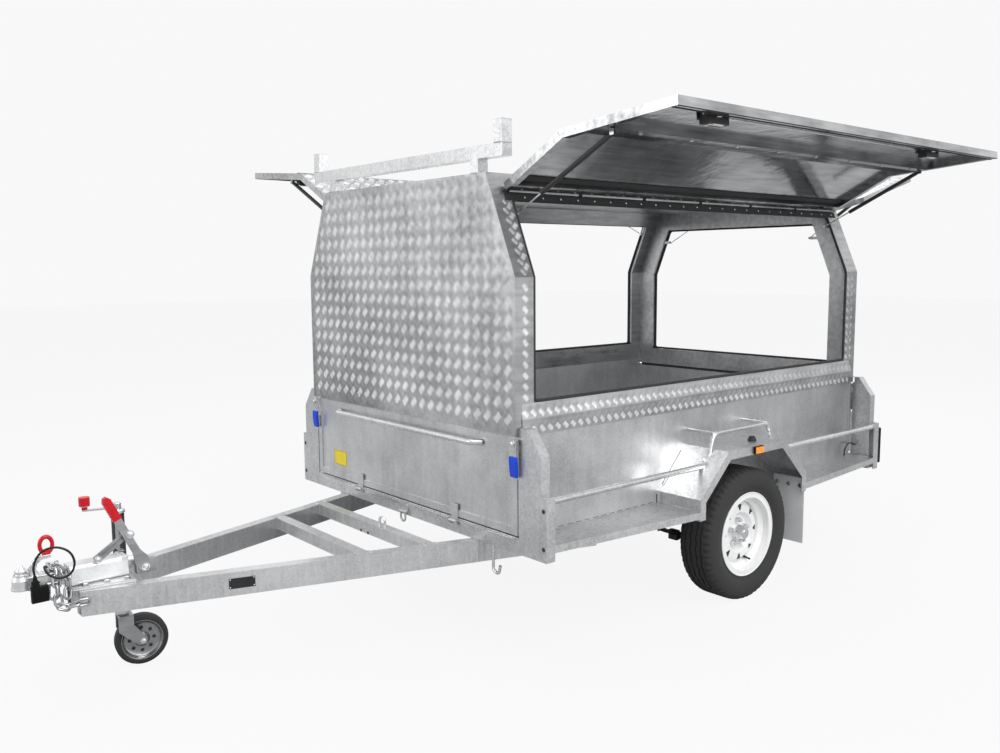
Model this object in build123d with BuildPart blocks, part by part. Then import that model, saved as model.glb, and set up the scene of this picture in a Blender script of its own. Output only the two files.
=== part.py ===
from build123d import *

import os
from math import atan2, cos, degrees, hypot, radians, sin, tan

os.makedirs("parts", exist_ok=True)

# Tradesman trailer: a single-axle box trailer with a checker-plate canopy, three lift-up doors,
# two drop gates and a ladder rack. Millimetres, +X ahead, +Y left, +Z up, ground at z = 0.
# Stations along the trailer are measured from the body's front face, rearwards negative.

# Tray and chassis
body_length = 2496.0
tray_half = 760.0
side_wall = 24.0
ground_to_chassis = 432.0
chassis_height = 65.0
chassis_width = 50.0
chassis_wall = 4.0
floor_thickness = 6.0
tray_depth = 418.0
bearer_count = 6
bearer_width = 45.0
plate = 4.0

# Corner plates and light brackets
corner_reach = 912.0
corner_top_reach = 839.0
corner_top = 933.0
corner_shoulder = 836.0
corner_return = 45.0
bracket_reach = 942.0
bracket_height = 253.0
bracket_hole_low = 51.0
bracket_hole_high = 199.0
bracket_hole_radius = 7.0

# Wheels, guards and springs
axle_x = -1248.0
wheel_radius = 310.0
tyre_width = 185.0
wheel_track_half = 897.0
rim_flange_radius = 195.0
rim_seat_radius = 176.0
rim_well_radius = 150.0
rim_width = 150.0
rim_sheet = 5.0
rim_slots = 8
hub_radius = 36.0
drum_radius = 118.0
stud_circle = 57.0
stud_count = 5
spindle_radius = 17.5
bearing_fit = 0.05
guard_reach = 1015.0
guard_top = 734.0
guard_top_half = 216.0
guard_foot_half = 412.0
guard_shoulder = 548.0
guard_foot = 455.0
guard_lip = 38.0
axle_side = 45.0
spring_y = 735.0
spring_width = 45.0
leaf = 8.0
leaf_count = 5
spring_half = 368.0
spring_camber = 98.0
eye_radius = 15.0

# Drawbar
rail_height = 90.0
rail_width = 50.0
rail_wall = 4.0
drawbar_reach = 1426.0
drawbar_root_half = 538.0
drawbar_tip_half = 87.0
drawbar_tail = -520.0
angle_leg = 50.0
angle_stations = (470.0, 206.0)

# Coupling
head_x = 1591.0
head_radius = 34.0
ball_radius = 25.5
disc_height = 459.0
disc_thickness = 7.0
dome_top = 514.0
spike_top = 549.0
neck_top = 500.0
neck_half = 24.0
housing_front = 1444.0
housing_rear = 1246.0
housing_half = 40.0
housing_top = 512.0
base_thickness = 10.0
base_front_half = 62.0
base_rear_half = 100.0

# Jockey wheel
jockey_x = 1200.0
jockey_radius = 100.0
jockey_width = 46.0
jockey_trail = 62.0
jockey_turn = 172.0
jockey_pin = 7.0
tube_radius = 24.0
tube_wall = 3.0
tube_bottom = 312.0
tube_top = 630.0
sliding_fit = 0.1
clamp_wall = 6.0
clamp_plate = 8.0
fork_top = 212.0
fork_plate = 5.0

# Canopy
canopy_front = 15.0
canopy_rear = -2484.0
canopy_wall = 30.0
canopy_half = 787.0
canopy_foot = 898.0
skirt_fold = 962.0
skirt_lip = 4.0
opening_sill = 1025.0
knuckle_z = 1510.0
roof_half = 618.0
roof_z = 1913.0
frame_depth = 27.0
opening_top = 1815.0
post_front = 78.0
post_rear = 119.0
seal_width = 10.0
seal_depth = 8.0

# Doors
door_gap = 6.0
door_thickness = 32.0
door_skin = 4.0
door_rim = 32.0
hinge_offset = 10.0
hinge_z = 1840.0
hinge_clearance = 8.0
hinge_pin = 4.0
hinge_knuckle = 9.0
door_bottom = 987.0
door_swing = 94.9
door_front = -45.0
door_back = -2455.0
rear_hinge_z = 1830.0
rear_door_length = 870.0
rear_door_half = 650.0
rear_door_top_half = 540.0
rear_swing = 105.0
rear_opening_low = 1000.0
rear_opening_high = 1779.0
rear_opening_half = 640.0
rear_opening_top_half = 522.0

# Gates
gate_half = 776.0
gate_thickness = 28.0
gate_gap = 6.0
gate_top = 890.0
gate_hinge_x = 12.0
gate_hinge_z = 485.0

# The origin is on the ground under the middle of the whole, doors open
rear_reach = -canopy_rear + hinge_offset + rear_door_length * sin(radians(rear_swing))
nose_reach = head_x + head_radius
front_x = round((rear_reach - nose_reach) / 2)

floor_z = ground_to_chassis + chassis_height + floor_thickness
chassis_top = ground_to_chassis + chassis_height
wall_outer = tray_half + side_wall
tray_top = floor_z + tray_depth
rail_top = ground_to_chassis
body_middle = -body_length / 2


def across(x):
    """Plane at a station, seen from ahead: local x is +Y, local y is +Z, normal +X."""
    return Plane(origin=(front_x + x, 0, 0), x_dir=(0, 1, 0), z_dir=(1, 0, 0))


def along(y):
    """Plane at a side distance: local x is the station, local y is +Z, normal -Y."""
    return Plane(origin=(front_x, y, 0), x_dir=(1, 0, 0), z_dir=(0, -1, 0))


def level(z):
    """Horizontal plane at a height: local x is the station, local y is +Y, normal +Z."""
    return Plane(origin=(front_x, 0, z), x_dir=(1, 0, 0), z_dir=(0, 0, 1))


def slab(plane, outline, thickness, mode=Mode.ADD):
    """A plate with straight edges: a closed outline on a plane, extruded along its normal."""
    with BuildSketch(plane) as profile:
        with BuildLine():
            Polyline(*outline, close=True)
        make_face()
    extrude(profile.sketch, amount=thickness, mode=mode)


def bar(xs, ys, zs, mode=Mode.ADD):
    """A straight rectangular member between two stations, two sides and two heights."""
    outline = [(xs[0], ys[0]), (xs[1], ys[0]), (xs[1], ys[1]), (xs[0], ys[1])]
    slab(level(zs[0]), outline, zs[1] - zs[0], mode)


def rod(start, end, radius, mode=Mode.ADD):
    """A round bar between two points given as station, side and height."""
    a = Vector(front_x + start[0], start[1], start[2])
    b = Vector(front_x + end[0], end[1], end[2])
    with BuildSketch(Plane(origin=a, z_dir=b - a)) as section:
        Circle(radius)
    extrude(section.sketch, amount=(b - a).length, mode=mode)


def bent_tube(points, radii, radius):
    """A round bar along straight runs joined by arcs, one arc radius for each inner corner."""
    path_points = [(front_x + x, y, z) for x, y, z in points]
    with BuildLine(mode=Mode.PRIVATE) as path:
        FilletPolyline(*path_points, radius=radii)
    with BuildSketch(Plane(origin=path.line @ 0, z_dir=path.line % 0)) as section:
        Circle(radius)
    sweep(section.sketch, path=path.line)


def cord_radii(points):
    """The arc radius at each inner point of a cord's route, as large as its runs allow."""
    radii = []
    for before, here, after in zip(points, points[1:], points[2:]):
        one = Vector(*here) - Vector(*before)
        two = Vector(*after) - Vector(*here)
        half = radians(one.get_angle(two)) / 2
        radii.append(0.45 * min(one.length, two.length) / tan(half))
    return radii


def keep(piece, name):
    """Labels a finished piece and writes it."""
    piece.part.label = name
    export_step(piece.part, f"parts/{name}.step")


# Drawbar rails
rail_slope = (drawbar_root_half - drawbar_tip_half) / drawbar_reach
rail_across = rail_width * hypot(1, rail_slope)
rail_wall_across = rail_wall * hypot(1, rail_slope)


def rail_outer(x):
    """Side distance of a rail's outer face at a station."""
    return drawbar_root_half - rail_slope * x


def rail_inner(x):
    """Side distance of a rail's inner face at a station."""
    return rail_outer(x) - rail_across


def rail_outline(inset):
    """A rail seen from above, its two long faces moved inwards by a wall."""
    return [
        (drawbar_reach, rail_outer(drawbar_reach) - inset),
        (drawbar_tail, rail_outer(drawbar_tail) - inset),
        (drawbar_tail, rail_inner(drawbar_tail) + inset),
        (drawbar_reach, rail_inner(drawbar_reach) + inset),
    ]


with BuildPart() as drawbar_rails:
    slab(level(rail_top - rail_height), rail_outline(0), rail_height)
    slab(level(rail_top - rail_height + rail_wall), rail_outline(rail_wall_across),
         rail_height - 2 * rail_wall, Mode.SUBTRACT)
    mirror(about=Plane.XZ)
keep(drawbar_rails, "drawbar_rails")

# Angle crossmembers between the drawbar rails, each an upright leg and a flat leg
with BuildPart() as drawbar_crossmembers:
    for x in angle_stations:
        back = x - angle_leg
        flat = [(x, rail_inner(x)), (back, rail_inner(back)),
                (back, -rail_inner(back)), (x, -rail_inner(x))]
        slab(level(rail_top - plate), flat, plate)
        upright = [(x, rail_inner(x)), (x - plate, rail_inner(x - plate)),
                   (x - plate, -rail_inner(x - plate)), (x, -rail_inner(x))]
        slab(level(rail_top - angle_leg), upright, angle_leg)
    for y in (-30, 30):
        rod((angle_stations[1] - 2 * plate, y, rail_top - 28),
            (angle_stations[1] + plate, y, rail_top - 28), 5.5, Mode.SUBTRACT)
keep(drawbar_crossmembers, "drawbar_crossmembers")

# Chassis beams across the front and the rear, with lugs and pins for the gates' hinges
beam = corner_return
beam_half = corner_reach - plate
hinge_half = 375.0
strap_width = 44.0
lug = 5.0
gate_pin = 4.0
gate_knuckle = 8.0
lug_gap = 1.0
with BuildPart() as chassis_beams:
    bar((-beam, 0), (-beam_half, beam_half), (ground_to_chassis, chassis_top))
    bar((-beam + chassis_wall, -chassis_wall), (-beam_half, beam_half),
        (ground_to_chassis + chassis_wall, chassis_top - chassis_wall), Mode.SUBTRACT)
    mirror(about=across(body_middle))
keep(chassis_beams, "chassis_beams")

with BuildPart() as gate_hinge_lugs:
    for y in (-hinge_half, hinge_half):
        for side in (-1, 1):
            inner = y + side * (strap_width / 2 + lug_gap)
            outer = inner + side * lug
            lug_top = gate_hinge_z + gate_pin + 3
            slab(along(max(inner, outer)),
                 [(0, gate_hinge_z - 20), (gate_hinge_x + 7, gate_hinge_z - 7),
                  (gate_hinge_x + 7, lug_top), (0, lug_top)], lug)
        rod((gate_hinge_x, y - strap_width / 2 - lug_gap - lug, gate_hinge_z),
            (gate_hinge_x, y + strap_width / 2 + lug_gap + lug, gate_hinge_z), gate_pin)
    mirror(about=across(body_middle))
keep(gate_hinge_lugs, "gate_hinge_lugs")

with BuildPart() as chassis_rails:
    bar((-body_length + beam, -beam), (wall_outer - chassis_width, wall_outer),
        (ground_to_chassis, chassis_top))
    bar((-body_length + beam, -beam),
        (wall_outer - chassis_width + chassis_wall, wall_outer - chassis_wall),
        (ground_to_chassis + chassis_wall, chassis_top - chassis_wall), Mode.SUBTRACT)
    mirror(about=Plane.XZ)
keep(chassis_rails, "chassis_rails")

bearer_pitch = (body_length - 2 * beam) / (bearer_count + 1)
bearer_half = wall_outer - chassis_width
with BuildPart() as floor_bearers:
    for index in range(bearer_count):
        x = -beam - (index + 1) * bearer_pitch
        bar((x - bearer_width / 2, x + bearer_width / 2), (-bearer_half, bearer_half),
            (ground_to_chassis, chassis_top))
        bar((x - bearer_width / 2 + plate, x + bearer_width / 2), (-bearer_half, bearer_half),
            (ground_to_chassis + plate, chassis_top - plate), Mode.SUBTRACT)
keep(floor_bearers, "floor_bearers")

with BuildPart() as tray_floor:
    bar((-body_length + gate_thickness, -gate_thickness), (-tray_half, tray_half),
        (chassis_top, floor_z))
keep(tray_floor, "tray_floor")

with BuildPart() as tray_sides:
    bar((-body_length + gate_thickness, -gate_thickness), (tray_half, wall_outer),
        (chassis_top, tray_top))
    mirror(about=Plane.XZ)
keep(tray_sides, "tray_sides")

# Corner plates: a flat face with a sloped shoulder, folded back along its outer edges,
# and the angle outside it that carries the lamps
skirt_reach = canopy_half + skirt_lip
plate_gap = 1.0
bracket_top = ground_to_chassis + bracket_height
bracket_hole_y = (corner_reach + bracket_reach - plate) / 2


def corner_outline(inset):
    """A corner plate seen from ahead; the inset gives the inside of its fold."""
    slope = atan2(corner_top - corner_shoulder, corner_reach - corner_top_reach)
    shoulder_drop = inset * (1 - sin(slope)) / cos(slope)
    top_shift = inset * tan(slope / 2)
    return [
        (wall_outer, chassis_top),
        (corner_reach - inset, chassis_top),
        (corner_reach - inset, corner_shoulder - shoulder_drop),
        (corner_top_reach - top_shift, corner_top - inset),
        (skirt_reach + plate_gap, corner_top - inset),
        (skirt_reach + plate_gap, canopy_foot - plate_gap),
        (wall_outer, canopy_foot - plate_gap),
    ]


with BuildPart() as corner_plates:
    slab(across(-corner_return), corner_outline(0), corner_return)
    slab(across(-corner_return), corner_outline(plate), corner_return - plate, Mode.SUBTRACT)
    bar((-corner_return, 0), (beam_half, corner_reach), (ground_to_chassis, chassis_top))
    angle = [(0, corner_reach), (0, bracket_reach), (-corner_return, bracket_reach),
             (-corner_return, bracket_reach - plate), (-plate, bracket_reach - plate),
             (-plate, corner_reach)]
    slab(level(ground_to_chassis), angle, bracket_height)
    for height in (bracket_hole_low, bracket_hole_high):
        z = ground_to_chassis + height
        rod((-2 * plate, bracket_hole_y, z), (plate, bracket_hole_y, z), bracket_hole_radius,
            Mode.SUBTRACT)
    mirror(about=Plane.XZ)
    mirror(about=across(body_middle))
keep(corner_plates, "corner_plates")

# Side steps: sheets that widen from the brackets to the guards, with a folded lip
step_drop = 8.0
step_z = floor_z - step_drop
step_lip = 30.0
guard_front = axle_x + guard_foot_half
guard_back = axle_x - guard_foot_half


def step_outline(start, end, inset):
    """A step from above: parallel to the wall inside, widening towards the guard outside."""
    return [(start, wall_outer), (end, wall_outer), (end, guard_reach - inset),
            (start, bracket_reach - inset)]


with BuildPart() as side_steps:
    for start, end in ((-corner_return, guard_front), (-body_length + corner_return, guard_back)):
        slab(level(step_z - step_lip), step_outline(start, end, 0), step_lip)
        slab(level(step_z - step_lip), step_outline(start, end, plate), step_lip - plate,
             Mode.SUBTRACT)
    mirror(about=Plane.XZ)
keep(side_steps, "side_steps")


def guard_outline(inset, foot):
    """A guard from the side: upright feet, sloped shoulders and a flat top, moved inwards."""
    slope = atan2(guard_top - guard_shoulder, guard_foot_half - guard_top_half)
    half = guard_foot_half - inset
    shoulder = guard_shoulder - inset * (1 - sin(slope)) / cos(slope)
    top_half = guard_top_half - inset * tan(slope / 2)
    top = guard_top - inset
    return [
        (axle_x + half, foot), (axle_x + half, shoulder), (axle_x + top_half, top),
        (axle_x - top_half, top), (axle_x - half, shoulder), (axle_x - half, foot),
    ]


below_guard = guard_foot - 50.0
with BuildPart() as mudguards:
    slab(along(guard_reach), guard_outline(0, guard_foot), guard_reach - wall_outer)
    slab(along(guard_reach - plate), guard_outline(plate, below_guard),
         guard_reach - plate - wall_outer, Mode.SUBTRACT)
    slab(along(guard_reach), guard_outline(guard_lip, below_guard), plate, Mode.SUBTRACT)
    mirror(about=Plane.XZ)
keep(mudguards, "mudguards")

# Mud flaps hang behind the wheels inside the guards' rear feet
flap_width = 170.0
flap_bottom = 192.0
flap_thickness = 5.0
flap_lap = 60.0
with BuildPart() as mud_flaps:
    x = guard_back + plate
    bar((x, x + flap_thickness), (guard_reach - plate - flap_width, guard_reach - plate),
        (flap_bottom, guard_foot + flap_lap))
    mirror(about=Plane.XZ)
keep(mud_flaps, "mud_flaps")

# Tie rails from the lamp brackets to the guards' slopes, and a hoop over each guard
tie_y = 925.0
tie_z = bracket_top - 20.0
tie_radius = 13.0
hoop_radius = 9.0
hoop_rise = 68.0
hoop_lean = 40.0


def guard_surface(z):
    """Distance from the axle to a guard's sloped shoulder at a height."""
    share = (z - guard_shoulder) / (guard_top - guard_shoulder)
    return guard_foot_half + (guard_top_half - guard_foot_half) * share


tie_seat = guard_surface(tie_z) - 30.0
hoop_foot = guard_surface(guard_top - 30.0)
hoop_z = guard_top + hoop_rise
with BuildPart() as side_rails:
    rod((-plate, tie_y, tie_z), (axle_x + tie_seat, tie_y, tie_z), tie_radius)
    rod((-body_length + plate, tie_y, tie_z), (axle_x - tie_seat, tie_y, tie_z), tie_radius)
    bent_tube([(axle_x + hoop_foot, tie_y, guard_top - 40.0),
               (axle_x + hoop_foot - hoop_lean, tie_y, hoop_z),
               (axle_x - hoop_foot + hoop_lean, tie_y, hoop_z),
               (axle_x - hoop_foot, tie_y, guard_top - 40.0)],
              [45, 45], hoop_radius)
    slab(along(guard_reach), guard_outline(0, below_guard), guard_reach - wall_outer, Mode.SUBTRACT)
    mirror(about=Plane.XZ)
keep(side_rails, "side_rails")

# Lamps: amber markers on the guards' lips, combination lamps on the rear brackets
marker_length = 62.0
marker_height = 30.0
marker_depth = 12.0
tail_lamp_height = 190.0
tail_lamp_width = 75.0
tail_lamp_depth = 30.0
with BuildPart() as lamps:
    z = guard_top - guard_lip / 2
    bar((axle_x - marker_length / 2, axle_x + marker_length / 2),
        (guard_reach, guard_reach + marker_depth), (z - marker_height / 2, z + marker_height / 2))
    z = ground_to_chassis + (bracket_hole_low + bracket_hole_high) / 2
    bar((-body_length - tail_lamp_depth, -body_length),
        (bracket_reach - plate - tail_lamp_width, bracket_reach - plate),
        (z - tail_lamp_height / 2, z + tail_lamp_height / 2))
    mirror(about=Plane.XZ)
keep(lamps, "lamps")

# Lamp leads: a loop from each rear step to its corner plate
lead_radius = 4.0
lamp_route = [
    (-2397, 800, step_z), (-2397, 800, 520), (-2409, 801, 545), (-2432, 804, 560),
    (-2456, 808, 561), (-2472, 810, 548), (-body_length + plate, 810, 548),
]
with BuildPart() as lamp_leads:
    bent_tube(lamp_route, cord_radii(lamp_route), lead_radius)
    mirror(about=Plane.XZ)
keep(lamp_leads, "lamp_leads")

# Axle: a square beam with a seat on each spring and a spindle into each hub
spring_seat_pad = 10.0
spring_seat = wheel_radius - axle_side / 2 - spring_seat_pad
arc_radius = (spring_half ** 2 + spring_camber ** 2) / (2 * spring_camber)
arc_centre_z = spring_seat + arc_radius
drum_inner = -62.0
spindle_reach = 20.0
beam_end = wheel_track_half + drum_inner - 45.0
with BuildPart() as axle_beam:
    bar((axle_x - axle_side / 2, axle_x + axle_side / 2), (0, beam_end),
        (wheel_radius - axle_side / 2, wheel_radius + axle_side / 2))
    rod((axle_x, beam_end, wheel_radius),
        (axle_x, wheel_track_half + drum_inner + spindle_reach, wheel_radius), spindle_radius)
    with BuildSketch(along(spring_y + spring_width / 2)) as seat:
        with Locations((axle_x, spring_seat + spring_seat_pad / 2)):
            Rectangle(2 * axle_side, 2 * spring_seat_pad)
        with Locations((axle_x, arc_centre_z)):
            Circle(arc_radius, mode=Mode.INTERSECT)
    extrude(seat.sketch, amount=spring_width)
    mirror(about=Plane.XZ)
keep(axle_beam, "axle_beam")

# Leaf springs: leaves on one arc, each shorter than the one above, between hanger plates
half_turn = degrees(atan2(spring_half, arc_radius - spring_camber))
eye_z = spring_seat + spring_camber
hanger_plate = 6.0
hanger_gap = 1.0
with BuildPart() as leaf_springs:
    for index in range(leaf_count):
        turn = half_turn * (1 - index / (leaf_count + 0.5))
        reach = (arc_radius + leaf * leaf_count) * 1.2
        with BuildSketch(along(spring_y + spring_width / 2)) as band:
            with Locations((axle_x, arc_centre_z)):
                Circle(arc_radius + leaf * (index + 1))
                Circle(arc_radius + leaf * index, mode=Mode.SUBTRACT)
            with BuildLine():
                Polyline((axle_x, arc_centre_z),
                         (axle_x + reach * tan(radians(turn)), arc_centre_z - reach),
                         (axle_x - reach * tan(radians(turn)), arc_centre_z - reach), close=True)
            make_face(mode=Mode.INTERSECT)
        extrude(band.sketch, amount=spring_width)
    for x in (axle_x - spring_half, axle_x + spring_half):
        rod((x, spring_y - spring_width / 2, eye_z), (x, spring_y + spring_width / 2, eye_z),
            eye_radius)
        for side in (-1, 1):
            inner = spring_y + side * (spring_width / 2 + hanger_gap)
            outer = inner + side * hanger_plate
            cheek = [(x - 34, ground_to_chassis), (x + 34, ground_to_chassis),
                     (x + 20, eye_z - 22), (x - 20, eye_z - 22)]
            slab(along(max(inner, outer)), cheek, hanger_plate)
        bolt_reach = spring_width / 2 + hanger_gap + hanger_plate
        rod((x, spring_y - bolt_reach, eye_z), (x, spring_y + bolt_reach, eye_z), 6)
    stack_bottom = spring_seat - leaf * leaf_count
    bar((axle_x - 45, axle_x + 45), (spring_y - 32, spring_y + 32),
        (stack_bottom - 8, stack_bottom + 2))
    mirror(about=Plane.XZ)
keep(leaf_springs, "leaf_springs")


# Wheels: tyre, and pressed rim with triangular slots, hub, drum and wheel nuts
def wheel_plane(y):
    """Plane through an axle end, local x outwards along the axle, local y up the radius."""
    return Plane(origin=(front_x + axle_x, y, wheel_radius), x_dir=(0, 1, 0), z_dir=(1, 0, 0))


def turned(plane, outline, mode=Mode.ADD):
    """A ring turned about the axle from a closed outline of axle distance and radius."""
    with BuildSketch(plane) as profile:
        with BuildLine():
            Polyline(*outline, close=True)
        make_face()
    revolve(profile.sketch, axis=Axis(plane.origin, plane.x_dir), mode=mode)


tread_half = tyre_width * 0.40
bulge_half = tyre_width / 2
bead_half = rim_width / 2 - rim_sheet
bead_width = 24.0
tyre_middle = 0.5 * (rim_flange_radius + wheel_radius)
flange_clear = rim_flange_radius + 1.0
tread_edge = wheel_radius - 6.0
with BuildPart() as tyre_left:
    with BuildSketch(wheel_plane(wheel_track_half)) as section:
        with BuildLine():
            ThreePointArc((bead_half, flange_clear), (bulge_half, tyre_middle), (tread_half, tread_edge))
            Polyline((tread_half, tread_edge), (tread_half - 14, wheel_radius),
                     (-tread_half + 14, wheel_radius), (-tread_half, tread_edge))
            ThreePointArc((-tread_half, tread_edge), (-bulge_half, tyre_middle), (-bead_half, flange_clear))
            Polyline((-bead_half, flange_clear), (-bead_half, rim_seat_radius),
                     (-bead_half + bead_width, rim_seat_radius))
            ThreePointArc((-bead_half + bead_width, rim_seat_radius), (0, wheel_radius - 22),
                          (bead_half - bead_width, rim_seat_radius))
            Polyline((bead_half - bead_width, rim_seat_radius), (bead_half, rim_seat_radius),
                     (bead_half, flange_clear))
        make_face()
    revolve(section.sketch, axis=Axis(wheel_plane(wheel_track_half).origin, (0, 1, 0)))
keep(tyre_left, "tyre_left")

dish_offset = 10.0
disc_edge = rim_well_radius - rim_sheet
with BuildPart() as rim_left:
    half = rim_width / 2
    turned(wheel_plane(wheel_track_half), [
        (half, rim_flange_radius), (half - rim_sheet, rim_flange_radius),
        (half - rim_sheet, rim_seat_radius), (42, rim_seat_radius), (26, rim_well_radius),
        (-26, rim_well_radius), (-42, rim_seat_radius), (-half + rim_sheet, rim_seat_radius),
        (-half + rim_sheet, rim_flange_radius), (-half, rim_flange_radius),
        (-half, rim_seat_radius - rim_sheet), (-44, rim_seat_radius - rim_sheet),
        (-30, disc_edge), (30, disc_edge),
        (44, rim_seat_radius - rim_sheet), (half, rim_seat_radius - rim_sheet)])
    turned(wheel_plane(wheel_track_half), [
        (dish_offset, hub_radius - 2), (dish_offset, 78), (dish_offset + 22, 96),
        (dish_offset + 18, 128), (dish_offset + 2, disc_edge + 1),
        (dish_offset - 4, disc_edge + 1), (dish_offset + 12, 124),
        (dish_offset + 16, 98), (dish_offset - 6, 80), (dish_offset - 6, hub_radius - 2)])
    for index in range(rim_slots):
        face = Plane(origin=(front_x + axle_x, wheel_track_half + 60, wheel_radius),
                     x_dir=(1, 0, 0), z_dir=(0, -1, 0))
        with BuildSketch(face * Rotation(0, 0, index * 360 / rim_slots)) as slot:
            with BuildLine():
                Polyline((-17, 132), (17, 132), (4, 103), (-4, 103), close=True)
            make_face()
        extrude(slot.sketch, amount=90, mode=Mode.SUBTRACT)
    turned(wheel_plane(wheel_track_half), [
        (drum_inner, spindle_radius + bearing_fit), (drum_inner, drum_radius), (-8, drum_radius),
        (dish_offset - 8, 80), (dish_offset - 6, 78), (dish_offset - 6, hub_radius - 2),
        (dish_offset + 18, hub_radius - 2), (dish_offset + 30, 30), (dish_offset + 48, 27),
        (dish_offset + 52, 22), (dish_offset + 52, 0), (drum_inner + spindle_reach + 3, 0),
        (drum_inner + spindle_reach + 3, spindle_radius + bearing_fit)])
    for index in range(stud_count):
        a = radians(90 + index * 360 / stud_count)
        x = axle_x + stud_circle * cos(a)
        z = wheel_radius + stud_circle * sin(a)
        y = wheel_track_half + dish_offset
        with BuildSketch(along(y + 20)) as nut:
            with Locations((x, z)):
                RegularPolygon(11, 6)
        extrude(nut.sketch, amount=20)
keep(rim_left, "rim_left")

for piece, name in ((tyre_left, "tyre_right"), (rim_left, "rim_right")):
    with BuildPart() as other:
        mirror(piece.part, about=Plane.XZ)
    keep(other, name)

# Coupling: base plate and housing, and the head with its ball socket
base_top = rail_top + base_thickness
with BuildPart() as coupling_body:
    slab(level(rail_top),
         [(housing_front + 7, base_front_half), (housing_rear - 8, base_rear_half),
          (housing_rear - 8, -base_rear_half), (housing_front + 7, -base_front_half)], base_thickness)
    with BuildSketch(across(housing_rear)) as rear_face:
        with BuildLine():
            Polyline((-housing_half - 8, base_top), (housing_half + 8, base_top),
                     (housing_half, housing_top), (-housing_half, housing_top), close=True)
        make_face()
        fillet(rear_face.vertices().group_by(Axis.Z)[-1], 12)
    extrude(rear_face.sketch, amount=housing_front - housing_rear)
    rod((housing_rear - 30, 0, 478), (housing_rear, 0, 478), 22)
keep(coupling_body, "coupling_body")

with BuildPart() as coupling_head:
    dome_plane = Plane(origin=(front_x + head_x, 0, 0), x_dir=(1, 0, 0), z_dir=(0, -1, 0))
    with BuildSketch(dome_plane) as dome:
        with BuildLine():
            Polyline((0, disc_height), (head_radius, disc_height),
                     (head_radius, disc_height + disc_thickness),
                     (head_radius - 3, disc_height + disc_thickness),
                     (head_radius - 4, 492), (head_radius - 10, 506), (17, dome_top), (17, 518),
                     (20, 522), (15, 528), (4, spike_top - 3), (0, spike_top), close=True)
        make_face()
    revolve(dome.sketch, axis=Axis((front_x + head_x, 0, 0), (0, 0, 1)))
    bar((housing_front, head_x - 10), (-neck_half, neck_half), (disc_height, neck_top))
    with BuildSketch(dome_plane) as socket:
        with BuildLine():
            Line((0, disc_height), (ball_radius, disc_height))
            Line((ball_radius, disc_height), (ball_radius, disc_height + 20))
            RadiusArc((ball_radius, disc_height + 20), (0, disc_height + 20 + ball_radius), -ball_radius)
            Line((0, disc_height + 20 + ball_radius), (0, disc_height))
        make_face()
    revolve(socket.sketch, axis=Axis((front_x + head_x, 0, 0), (0, 0, 1)), mode=Mode.SUBTRACT)
keep(coupling_head, "coupling_head")

# Trigger on the coupling's neck, with its pull loop
trigger_half = 6.0
loop_foot = 562.0
with BuildPart() as coupling_trigger:
    slab(along(trigger_half),
         [(1560, neck_top), (1564, 522), (1552, 548), (1532, loop_foot), (1494, loop_foot),
          (1494, loop_foot - 9), (1524, loop_foot - 12), (1538, 540), (1544, 520), (1532, neck_top)],
         2 * trigger_half)
keep(coupling_trigger, "coupling_trigger")

loop_x = 1505.0
loop_half_length = 38.0
loop_half_height = 40.0
loop_hole_length = 15.0
loop_hole_height = 22.0
loop_thickness = 15.0
with BuildPart() as trigger_loop:
    with BuildSketch(along(loop_thickness / 2)) as ring:
        with Locations((loop_x, loop_foot + loop_half_height)):
            Ellipse(loop_half_length, loop_half_height)
        with Locations((loop_x, loop_foot + loop_half_height + 2)):
            Ellipse(loop_hole_length, loop_hole_height, mode=Mode.SUBTRACT)
        with Locations((loop_x, loop_foot - loop_half_height + 3)):
            Rectangle(2 * loop_half_length, 2 * loop_half_height, mode=Mode.SUBTRACT)
    extrude(ring.sketch, amount=loop_thickness)
    bar((loop_x - 14, loop_x + 14), (-loop_thickness / 2, loop_thickness / 2),
        (loop_foot, loop_foot + 5))
keep(trigger_loop, "trigger_loop")

# Handbrake: a flat lever with a grip, its pivot bracket and ratchet strap
lever_y = 58.0
lever_flat = 8.0
pivot_x = 1190.0
pivot_z = 467.0
tip_x = 1321.0
tip_z = 745.0
lever_lean = atan2(tip_x - pivot_x, tip_z - pivot_z)
lever_length = hypot(tip_x - pivot_x, tip_z - pivot_z)
grip_length = 96.0
strap_y = 36.0


def on_lever(distance, aside):
    """A point beside the lever's middle line, as station and height."""
    return (pivot_x + distance * sin(lever_lean) + aside * cos(lever_lean),
            pivot_z + distance * cos(lever_lean) - aside * sin(lever_lean))


with BuildPart() as handbrake_lever:
    slab(along(lever_y + lever_flat / 2),
         [on_lever(-14, -20), on_lever(-14, 20), on_lever(30, 26), on_lever(70, 14),
          on_lever(lever_length - grip_length, 14), on_lever(lever_length - grip_length, -14),
          on_lever(70, -14), on_lever(30, -26)], lever_flat)
    bar((pivot_x - 40, pivot_x + 30), (lever_y - 30, lever_y - lever_flat / 2),
        (rail_top, pivot_z + 24))
    slab(along(strap_y + 3),
         [(1362, housing_top), (1340, housing_top), (1228, 588), (1232, 606), (1248, 606),
          (1364, 530)], 6)
    rod((1239, strap_y - 3, 597), (1239, lever_y, 597), 6)
    bar((pivot_x - 40, pivot_x + 40), (lever_y - 30, lever_y + lever_flat), (0, base_top),
        Mode.SUBTRACT)
keep(handbrake_lever, "handbrake_lever")

with BuildPart() as handbrake_grip:
    slab(along(lever_y + 9),
         [on_lever(lever_length - grip_length, -16), on_lever(lever_length - grip_length, 16),
          on_lever(lever_length - 14, 15), on_lever(lever_length, 6),
          on_lever(lever_length, -6), on_lever(lever_length - 14, -15)], 18)
keep(handbrake_grip, "handbrake_grip")

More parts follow.
